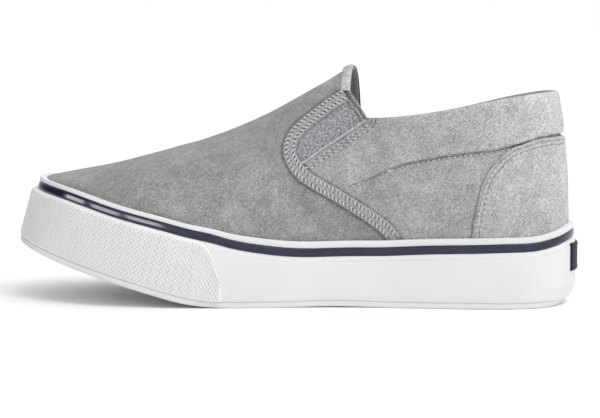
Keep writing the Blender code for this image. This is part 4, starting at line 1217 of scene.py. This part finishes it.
def make_canvas(skin, canvas, lining):
    """The upper: outer canvas with its seams and creases, rolled edges and the lining."""
    points, out = skin.points.copy(), skin.out
    count = len(points)
    x = 0.5 * LENGTH - points[:, 0]
    z = points[:, 2]
    along = x / LENGTH
    medial = points[:, 1] > 0
    row_of = np.zeros(count, dtype=int)
    column_of = np.zeros(count, dtype=int)
    for (c, r), v in skin.index.items():
        row_of[v], column_of[v] = r, c
    behind = (column_of <= skin.throat) | (column_of >= skin.total - skin.throat)
    shift = crease_field(points)
    gap = z - collar_seam_height(np.clip(along, 0, 0.4))
    fade = np.clip((0.392 - along) / 0.03, 0, 1) * behind
    padded = np.clip((COLLAR_CORNER + 0.01 - along) / 0.09, 0.15, 1)
    shift -= 0.0008 * np.exp(-((gap / 0.0008) ** 2)) * fade * padded
    puckers = np.sin(2 * math.pi * x / 0.0058 + 3 * soft_noise(along * 40, along * 0, 2.0))
    shift += 0.00020 * puckers * np.exp(-((gap / 0.005) ** 2)) * fade
    trim_gap = np.full(count, 0.05)
    cover_gap = np.full(count, 0.05)
    quarter_gap = np.full(count, 0.05)
    cover = counter_line()
    for side in (False, True):
        front, back = gore_rows(side)
        lift = np.array((0.0, 0.02))
        outline = [front[0] + lift, *front, *back[::-1], back[0] + lift + np.array((-0.004, 0))]
        d = polygon_distance(x, z, [tuple(p) for p in outline])
        sunk = soft_step(d, -0.0004, 0.0008)
        mine = medial == side
        shift = np.where(mine, shift - 0.0013 * sunk, shift)
        trim_gap = np.where(mine, signed_gap(x, z, trim_path(side, 0.0012)), trim_gap)
        cover_gap = np.where(mine, signed_gap(x, z, cover), cover_gap)
        quarter_gap = np.where(mine, signed_gap(x, z, back[:-1]), quarter_gap)
    shift *= np.clip((row_of - 1) / 3.0, 0, 1)
    vamp = soft_step(x / LENGTH, 0.40, 0.50)
    near_trim = np.abs(trim_gap) < 0.04
    vamp = np.where(near_trim & (z < 0.1), trim_gap > 0, vamp)
    # The cloth's level: the vamp darker than the quarter, partly its own tone and partly painted shade where
    # it faces up and towards the toe, with a paler patch low on the vamp; the quarter lighter towards the
    # heel as painted light.
    paler_low_vamp = 1 + 0.13 * np.exp(-(((along - 0.56) / 0.08) ** 2) - ((z - 0.042) / 0.012) ** 2)
    level = np.where(vamp > 0.5, 0.79 * paler_low_vamp, 0.97 + 0.12 * soft_step(along, 0.34, 0.20))
    # The padded collar paler, partly its own tone and partly painted light, and much lighter towards the
    # heel as painted light.
    pale_and_lit = 1.15 - 0.04 * soft_step(along, 0.30, 0.20) + 0.25 * soft_step(along, 0.20, 0.03)
    level = level * np.where((gap > 0) & (along < 0.392) & behind, pale_and_lit, 1.0)
    # A little darker just above the sidewall.
    level = level * (1 - 0.02 * np.exp(-np.clip(z - sidewall_height_of(along), 0, 1) / 0.002))
    # Painted shade in the creases, the seam's groove and the gore's recess, and painted light on the raised
    # folds.
    level = level * (1 + 90 * np.clip(shift, -0.0012, 0.0008) * (np.abs(gap) > 0.004))
    outer = points + out * shift[:, None]
    inner = points - out * (skin.walls * 0.97)[:, None]
    path = opening_path(skin)
    where = {v: k for k, v in skin.index.items()}
    caps, extra = [], []
    for v in path:
        column, row = where[v]
        at_throat = row >= skin.wall_rows or column in (skin.throat, skin.total - skin.throat)
        way = np.array((1.0, 0.0, 0.0)) if at_throat else np.array((0.0, 0.0, 1.0))
        flat = way - out[v] * (way @ out[v])
        flat /= np.linalg.norm(flat)
        middle, half = (outer[v] + inner[v]) / 2, (outer[v] - inner[v]) / 2
        ring = []
        for k in range(1, 6):
            angle = math.pi * k / 6
            ring.append(2 * count + len(extra))
            roll = flat * np.linalg.norm(half) * 0.8 * math.sin(angle)
            extra.append(middle + half * math.cos(angle) + roll)
        caps.append([v, *ring, v + count])
    faces = skin.faces + [tuple(v + count for v in f[::-1]) for f in skin.faces]
    slots = [0] * len(skin.faces) + [1] * len(skin.faces)
    for i in range(len(path)):
        a, b = caps[i], caps[(i + 1) % len(path)]
        for k in range(len(a) - 1):
            faces.append((a[k], b[k], b[k + 1], a[k + 1]))
            slots.append(0 if k < 2 else 1)
    everything = np.concatenate([outer, inner, np.array(extra)])
    owner = np.concatenate([np.arange(count), np.arange(count), np.zeros(len(extra), dtype=int)])
    for ring in caps:
        for k in ring[1:-1]:
            owner[k] = ring[0]
    made = piece("canvas_upper", everything, faces, [canvas, lining], "upper", slots=slots)
    fields = {"level": level, "trim_gap": trim_gap, "cover_gap": cover_gap, "quarter_gap": quarter_gap}
    fields["seam_gap"] = np.where(fade > 0, gap, 0.05)
    fields["back_gap"] = np.where(along < 0.12, gap, 0.05)
    mark(made, **{name: values[owner] for name, values in fields.items()})
    fix_normals(made)


def ribbon(name, skin, path, medial, size, finish, across, node=None, relief_of=None, low=None):
    """A crowned strip along a line seen from the side, its edges tucked into the cloth.

    The size is its width and height, across is how many faces it is wide, and low keeps it above a height.
    """
    width, height = size
    ahead = np.gradient(path, axis=0)
    ahead /= np.linalg.norm(ahead, axis=1)[:, None]
    points, uv = [], []
    run = 0.0
    for i, (centre, way) in enumerate(zip(path, ahead)):
        if i:
            run += float(np.linalg.norm(path[i] - path[i - 1]))
        _, out = skin.from_side(centre[0] / LENGTH, centre[1], medial)
        narrowing = max(0.45, abs(out[1]))
        for k in range(across + 1):
            t = 2 * k / across - 1
            shift = np.array((-way[1], way[0])) * t * width / 2
            shift[1] *= narrowing
            spot = centre + shift
            if low:
                spot[1] = max(spot[1], low(spot[0] / LENGTH))
            surface, turn = skin.from_side(spot[0] / LENGTH, spot[1], medial)
            crown = max(0.0, 1 - abs(t) ** 5) ** 0.5
            tall = height * crown - 0.0003 * (1 - crown)
            if relief_of:
                tall += relief_of(run, t) * crown
            points.append(surface + turn * tall)
            uv.append((run, t * width / 2))
    piece(name, points, grid_faces(len(path), across + 1), finish, node, uv)


def stitches(name, skin, lines, finish, length, radius, pitch, lift, slant=0.0):
    """Thread along lines: each is (path in the side view, medial, height above the skin)."""
    points, faces = [], []
    around, steps = 6, 5
    for path, medial, above in lines:
        path = np.asarray(path)
        arc = np.concatenate([[0], np.cumsum(np.linalg.norm(np.diff(path, axis=0), axis=1))])
        count = max(1, int(arc[-1] / pitch))
        for k in range(count):
            middle = (k + 0.5) * pitch
            ring_start = len(points)
            spine = []
            for j in range(steps + 1):
                t = j / steps
                place_on = middle + (t - 0.5) * length
                spot = np.array([np.interp(place_on, arc, path[:, n]) for n in (0, 1)])
                if slant:
                    ahead = np.array([np.interp(place_on + 1e-4, arc, path[:, n]) for n in (0, 1)]) - spot
                    norm = np.linalg.norm(ahead)
                    if norm > 0:
                        spot = spot + np.array((-ahead[1], ahead[0])) / norm * (t - 0.5) * slant
                surface, out = skin.from_side(spot[0] / LENGTH, spot[1], medial)
                bow = math.sin(math.pi * t)
                spine.append((surface + out * (above + lift * bow - radius * 0.6 * (1 - bow)), out))
            for j, (centre, out) in enumerate(spine):
                before = spine[max(0, j - 1)][0]
                after = spine[min(steps, j + 1)][0]
                way = after - before
                way /= np.linalg.norm(way)
                side = np.cross(way, out)
                side /= np.linalg.norm(side)
                lifted = np.cross(side, way)
                fat = radius * (0.45 + 0.55 * math.sin(math.pi * j / steps) ** 0.5)
                for a in range(around):
                    angle = 2 * math.pi * a / around
                    points.append(centre + (side * math.cos(angle) + lifted * math.sin(angle)) * fat)
            for j in range(steps):
                for a in range(around):
                    b = (a + 1) % around
                    low, high = ring_start + j * around, ring_start + (j + 1) * around
                    faces.append((low + a, low + b, high + b, high + a))
            faces.append(tuple(ring_start + a for a in range(around))[::-1])
            faces.append(tuple(ring_start + steps * around + a for a in range(around)))
    piece(name, points, faces, finish, None)


def offset_path(path, distance):
    """A line beside another in the side view, on its left for a positive distance."""
    path = np.asarray(path)
    ahead = np.gradient(path, axis=0)
    ahead /= np.linalg.norm(ahead, axis=1)[:, None]
    return path + np.stack([-ahead[:, 1], ahead[:, 0]], 1) * distance


def trim_relief(run, t):
    """Relief of the trim: a smooth cord along each edge, a braid in the middle and channels between."""
    braid = math.sin(2 * math.pi * (run / BRAID_PITCH + abs(t))) * math.exp(-((t / 0.30) ** 4))
    channel = math.exp(-(((abs(t) - 0.52) / 0.13) ** 2))
    return 0.00016 * braid - 0.00034 * channel


def trim_path(medial, spacing=0.00035):
    rows = np.array(TRIM)
    heights = side_height(INSTEP_HEIGHT, rows[:, 1], medial)
    return even_path(np.stack([rows[:, 0] * LENGTH, heights], 1), spacing)


def make_trims(skin, finish, thread):
    lines = []
    for medial in (False, True):
        side = "medial" if medial else "lateral"
        path = trim_path(medial)
        start = path[0] + (path[0] - path[12]) / np.linalg.norm(path[0] - path[12]) * 0.0030
        path = np.concatenate([np.linspace(start, path[0], 10)[:-1], path])
        size = (TRIM_WIDTH, TRIM_THICKNESS + CLEARANCE)
        low = lambda s: sidewall_height(s) + 0.0002
        name, node = f"trim_strip_{side}", f"trim_{side}"
        ribbon(name, skin, path, medial, size, finish, 18, node, trim_relief, low)
        for offset in (-TRIM_ROW, TRIM_ROW):
            beside = offset_path(path, offset)
            keep = beside[:, 1] > sidewall_height(0.3) + 0.0012
            lines.append((beside[keep], medial, TRIM_THICKNESS + CLEARANCE * 0.7))
    stitches("trim_stitches", skin, lines, thread, 0.0013, 0.00040, 0.0020, 0.0001, slant=0.0017)


# Distance of the two rows of thread from the quarter's front edge and from the counter's edge
QUARTER_ROWS = (0.0021, 0.0039)
COUNTER_ROWS = (0.0015, 0.0034)


def make_gores(skin, finish, edge_finish, thread):
    lines = []
    for medial in (False, True):
        side = "medial" if medial else "lateral"
        front, back = gore_rows(medial)
        downs = np.concatenate([np.linspace(0, 0.35, 26), np.linspace(0.38, len(front) - 1.1, 90)])
        points, uv = [], []
        across, run, last = 30, 0.0, None
        for down in downs:
            start = np.array([np.interp(down, range(len(front)), front[:, k]) for k in (0, 1)])
            end = np.array([np.interp(down, range(len(back)), back[:, k]) for k in (0, 1)])
            if last is not None:
                run += float(np.linalg.norm((start + end) / 2 - last))
            last = (start + end) / 2
            for k in range(across + 1):
                over = k / across
                spot = start + (end - start) * (over * 1.06 - 0.03)
                rounding = 4 * over * (1 - over) * max(0.0, 1 - down)
                spot[1] += (TOP_EDGE_BULGE - medial * MEDIAL_SAG) * rounding
                try:
                    surface, out = skin.from_side(spot[0] / LENGTH, spot[1], medial)
                except Exception:
                    spot[1] -= 0.0008
                    surface, out = skin.from_side(spot[0] / LENGTH, spot[1], medial)
                lines_at_top = 0.00045 * math.cos(2 * math.pi * run / 0.0016) * max(0.0, 1 - run / 0.0045)
                hollow = 0.0004 * math.sin(math.pi * over)
                points.append(surface - out * (GORE_RECESS + hollow - lines_at_top))
                uv.append((over * float(np.linalg.norm(end - start)), run))
        faces = grid_faces(len(downs), across + 1)
        gore = piece(f"gore_panel_{side}", points, faces, finish, f"gore_{side}", uv)
        mark(gore, top_gap=[v for _, v in uv])
        smooth_back = even_path(back, 0.0004)
        hem = offset_path(smooth_back, 0.0003)
        ribbon(f"gore_hem_{side}", skin, hem, medial, (0.0013, 0.0006), edge_finish, 10)
        for offset in QUARTER_ROWS:
            lines.append((offset_path(smooth_back, -offset), medial, 0.0))
    stitches("gore_stitches", skin, lines, thread, 0.0016, 0.00034, 0.0026, 0.0002)


def make_facing(skin, finish, thread):
    """The folded band round the throat, with a stitched front edge and a rolled back edge."""
    across, around = 16, 70
    points = []
    for k in range(across + 1):
        t = k / across
        share = THROAT - 0.0012 + (FACING_WIDTH * 0.80 / LENGTH + 0.0012) * t
        ring = []
        for medial in (False, True):
            column = Column(max(share, THROAT + 1e-4), medial)
            foot = INSTEP_HEIGHT * (FACING_FOOT - 0.012 - medial * MEDIAL_DROP)
            angles = np.linspace(column.angle_at(foot), math.pi / 2, around)
            ring.append([column.arch(a) for a in angles])
        line = ring[0] + ring[1][-2::-1]
        shift = (share - max(share, THROAT + 1e-4)) * LENGTH
        for point in line:
            hit, normal, _, _ = skin.tree.find_nearest(Vector(point))
            out = np.array(normal)
            hit = np.array(hit)
            centre = np.array((hit[0], 0.0, 0.05))
            if out @ (hit - centre) < 0:
                out = -out
            crown = max(0.0, 1 - abs(2 * t - 1) ** 4) ** 0.5
            tall = (FACING_THICKNESS + CLEARANCE) * crown - 0.0002 * (1 - crown)
            points.append(hit + out * tall + np.array((0.0011 * (1 - t) ** 3 - shift, 0, 0)))
    faces = grid_faces(across + 1, 2 * around - 1, flip=True)
    piece("throat_band", points, faces, finish, "throat_facing")
    share = THROAT + FACING_WIDTH * 0.80 / LENGTH + 0.0022
    rows = []
    for medial in (False, True):
        foot = INSTEP_HEIGHT * (FACING_FOOT + 0.004 - medial * MEDIAL_DROP)
        heights = np.linspace(foot, INSTEP_HEIGHT * 0.955, 12)
        rows.append((np.stack([np.full(12, share * LENGTH), heights], 1), medial, 0.0))
    stitches("throat_stitches", skin, rows, thread, 0.0013, 0.0003, 0.0022, 0.0002)


def counter_line():
    """The counter's front edge as places along the shoe and heights."""
    rows = [(s * LENGTH, HEEL_HEIGHT * h) for s, h in COUNTER_EDGE]
    rows.append((0.1755 * LENGTH, sidewall_height(0.1755) + 0.0004))
    return even_path(np.array(rows), 0.0008)


def make_counter(skin, finish, thread):
    """The patch round the heel, its edge turned in and stitched twice."""
    edge = counter_line()
    order = np.argsort(edge[:, 0])
    shares = np.concatenate([np.linspace(0.0, edge[0, 0] / LENGTH, 46)[:-1], edge[order, 0] / LENGTH])
    tops = []
    for s in shares:
        seam = float(collar_seam_height(s)) - 0.0004
        if s * LENGTH >= edge[0, 0]:
            seam = min(seam, float(np.interp(s * LENGTH, edge[order, 0], edge[order, 1])))
        tops.append(seam)
    rows = 46
    stops = list(zip(shares, tops))
    sides = [(s, t, -1) for s, t in stops[:0:-1]] + [(s, t, 1) for s, t in stops]
    points, outs, gaps = [], [], []
    for share, top, side in sides:
        position = float(np.interp(share, skin.shares, range(len(skin.shares)))) * side
        low = sidewall_height(share) + 0.0001
        for k in range(rows + 1):
            height = low + (top - low) * k / rows
            point, out = skin.on_column(position, height)
            near = min(np.hypot(edge[:, 0] - share * LENGTH, edge[:, 1] - height)) if share > 0.05 else 0.05
            if share * LENGTH < edge[0, 0]:
                near = min(near, top - height)
            crown = min(1.0, near / 0.0008) ** 0.5
            tall = (COUNTER_THICKNESS + CLEARANCE) * crown - 0.0003 * (1 - crown)
            points.append(point + out * tall)
            outs.append(out)
            gaps.append(near)
    points = np.array(points)
    points += np.array(outs) * (crease_field(points) * 0.6)[:, None]
    faces = grid_faces(len(sides), rows + 1, flip=True)
    made = piece("heel_cover", points, faces, finish, "heel_counter")
    along = 0.5 - points[:, 0] / LENGTH
    low = points[:, 2] - sidewall_height_of(along)
    # Lighter than the quarter, partly the cover's own tone and partly painted light, lighter still towards
    # the heel as painted light, and a little darker just above the sidewall.
    level = (1.26 + 0.16 * soft_step(along, 0.10, 0.0)) * (1 - 0.02 * np.exp(-low / 0.002))
    mark(made, edge_gap=gaps, level=level)
    lines = []
    for medial in (False, True):
        for offset in COUNTER_ROWS:
            path = offset_path(edge, -offset)
            keep = path[:, 1] > sidewall_height(0.16) + 0.001
            lines.append((path[keep], medial, COUNTER_THICKNESS + CLEARANCE * 0.6))
    stitches("counter_stitches", skin, lines, thread, 0.0016, 0.00034, 0.0026, 0.0002)


def make_collar_stitches(skin, thread):
    """The row of thread along the seam under the padded collar and the bar where it meets the gore."""
    shares = np.linspace(0.075, 0.392, 120)
    path = np.stack([shares * LENGTH, collar_seam_height(shares) - 0.0006], 1)
    lines = [(path, medial, -0.0002) for medial in (False, True)]
    stitches("collar_stitches", skin, lines, thread, 0.0014, 0.00030, 0.0024, 0.0001)
    centre = np.array((0.3175 * LENGTH, float(collar_seam_height(0.3175)) - 0.0006))
    bars = []
    for medial in (False, True):
        for angle in (0.45, 1.05, 2.3):
            half = np.array((math.cos(angle), math.sin(angle))) * 0.0014
            bars.append((np.array([centre - half, centre + half]), medial, 0.0001))
    stitches("collar_bars", skin, bars, thread, 0.0028, 0.0003, 0.0027, 0.0003)


# Light, floor and camera


def area_light(name, place_at, target, size, power):
    data = bpy.data.lights.new(name, "AREA")
    data.shape = "RECTANGLE"
    data.size, data.size_y = size
    data.energy = power
    made = bpy.data.objects.new(name, data)
    bpy.context.scene.collection.objects.link(made)
    made.location = place_at
    made.rotation_euler = (Vector(target) - Vector(place_at)).to_track_quat("-Z", "Y").to_euler()
    return made


def make_camera():
    """The photograph's view, from the lateral side and a little behind the middle."""
    width = 600
    eye = Vector((0.146132, -1.039781, 0.138))
    ahead = Vector((-0.139, 0.987, -0.079)).normalized()
    right = Vector((0.990, 0.139, 0.0)).normalized()
    up = right.cross(ahead)
    focal = 2253.08
    centre = (ahead * focal + right * (width / 2 - 293.51) - up * (209 - 180.43)).normalized()
    data = bpy.data.cameras.new("camera")
    made = bpy.data.objects.new("camera", data)
    bpy.context.scene.collection.objects.link(made)
    back = -centre
    side = Vector((0, 0, 1)).cross(back).normalized()
    top = back.cross(side)
    made.matrix_world = Matrix.Translation(eye) @ Matrix((side, top, back)).transposed().to_4x4()
    data.sensor_width = 36.0
    data.lens = focal * data.sensor_width / width
    data.clip_start = 0.01
    bpy.context.scene.camera = made


def make_studio():
    """Even white surroundings, darker towards the toe, with a floor that stays white round the shadow."""
    scene = bpy.context.scene
    world = bpy.data.worlds.new("studio")
    scene.world = world
    world.use_nodes = True
    tree = world.node_tree
    sky = tree.nodes["Background"]
    sky.inputs[0].default_value = (1.0, 1.0, 1.0, 1)
    coords = tree.nodes.new("ShaderNodeTexCoord")
    split = tree.nodes.new("ShaderNodeSeparateXYZ")
    spread = tree.nodes.new("ShaderNodeMapRange")
    spread.interpolation_type = "SMOOTHSTEP"
    for socket, value in zip(("From Min", "From Max", "To Min", "To Max"), (-1.0, -0.30, 0.00, 1.00)):
        spread.inputs[socket].default_value = value
    tree.links.new(coords.outputs["Generated"], split.inputs[0])
    tree.links.new(split.outputs[0], spread.inputs["Value"])
    tree.links.new(spread.outputs[0], sky.inputs[1])
    floor = bpy.data.meshes.new("floor")
    r = 8.0
    floor.from_pydata([(-r, -r, 0), (r, -r, 0), (r, r, 0), (-r, r, 0)], [], [(0, 1, 2, 3)])
    n = Nodes("floor_paper", grey(0.94), 0.9, 0.0)
    n.shader.inputs["Emission Color"].default_value = (1, 1, 1, 1)
    n.shader.inputs["Emission Strength"].default_value = 0.01
    floor.materials.append(n.material)
    made = bpy.data.objects.new("floor", floor)
    scene.collection.objects.link(made)
    sun = bpy.data.lights.new("sun", "SUN")
    sun.energy = 0.95
    sun.angle = math.radians(38)
    holder = bpy.data.objects.new("sun", sun)
    scene.collection.objects.link(holder)
    holder.rotation_euler = Vector((-0.45, 0.35, -1.0)).to_track_quat("-Z", "Y").to_euler()
    power = 9.0 * math.pi * 0.434
    for angle in (22, 47, 74):
        turn = math.radians(angle)
        spot = (-2.0 * math.sin(turn), -2.0 * math.cos(turn), 0.55)
        strip = area_light(f"strip_{angle + 10}", spot, (0.0, -0.03, 0.03), (0.70, 0.62), power)
        strip.visible_diffuse = False
        strip.visible_camera = False
    scene.view_settings.view_transform = "Standard"
    scene.view_settings.look = "None"


def main():
    # The white rubber paints a thin line of shade just under the sidewall's step.
    white = rubber_material("white_rubber_fine", 0.745, marks=[("step_gap", -0.0002, 0.0003, 0.12)])
    tread = rubber_material("white_rubber_tread", 0.74, 0.00008)
    navy = stripe_material("navy_gloss")
    label = Nodes("navy_label", (0.012, 0.016, 0.034), 0.55, 0.15)
    # Lines of painted shade in the collar seam and its stitch row, along the seam at the heel, beside both
    # edges of the trim, under the counter's edge and along the quarter's stitch rows; the depths are real
    # dents.
    canvas_marks = [
        ("seam_gap", 0.0, 0.00034, 0.20, 0.00035),
        ("seam_gap", -0.0006, 0.00034, 0.30, 0.00015),
        ("back_gap", 0.0, 0.00045, 0.40, 0.00020),
        ("trim_gap", TRIM_WIDTH / 2, 0.00110, 0.45, 0.00025),
        ("trim_gap", -TRIM_WIDTH / 2, 0.00070, 0.34, 0.00020),
        ("cover_gap", 0.0, 0.00075, 0.45, 0.00020),
    ]
    canvas_marks += [("quarter_gap", -d, 0.00036, 0.45, 0.00022) for d in QUARTER_ROWS]
    canvas = canvas_material("washed_canvas", 0.36, canvas_marks)
    # Painted shade along the counter's two stitch rows.
    cover_marks = [("edge_gap", d, 0.00036, 0.34, 0.00022) for d in COUNTER_ROWS]
    heel_canvas = canvas_material("washed_canvas_heel", 0.36, cover_marks)
    edge_canvas = canvas_material("folded_edge", 0.44, twill=0.4)
    knit = knit_material("knit_trim", 0.35)
    facing = canvas_material("folded_canvas", 0.45, twill=0.4)
    elastic = elastic_material("ribbed_elastic", 0.29)
    thread = thread_material("grey_thread", 0.60)
    lining = lining_material("grey_lining", 0.33)
    make_sidewall(white)
    make_footbed(white)
    make_tread(tread)
    make_line("navy_line", navy, "stripe", 1, 2, 0.0004, 0.00050)
    make_line("white_line", white, "top_line", 2, 3, 0.0003)
    # The toe rubber paints shade into the diamonds' grooves.
    make_bumper(rubber_material("white_rubber_toe", 0.81, marks=[("groove", 1.0, 0.45, 0.34)]))
    make_patch(label.material)
    make_footbed_cover(lining)
    skin = Skin()
    make_canvas(skin, canvas, lining)
    make_gores(skin, elastic, edge_canvas, thread)
    make_trims(skin, knit, thread)
    make_facing(skin, facing, thread)
    make_counter(skin, heel_canvas, thread)
    make_collar_stitches(skin, thread)
    make_camera()
    make_studio()


main()
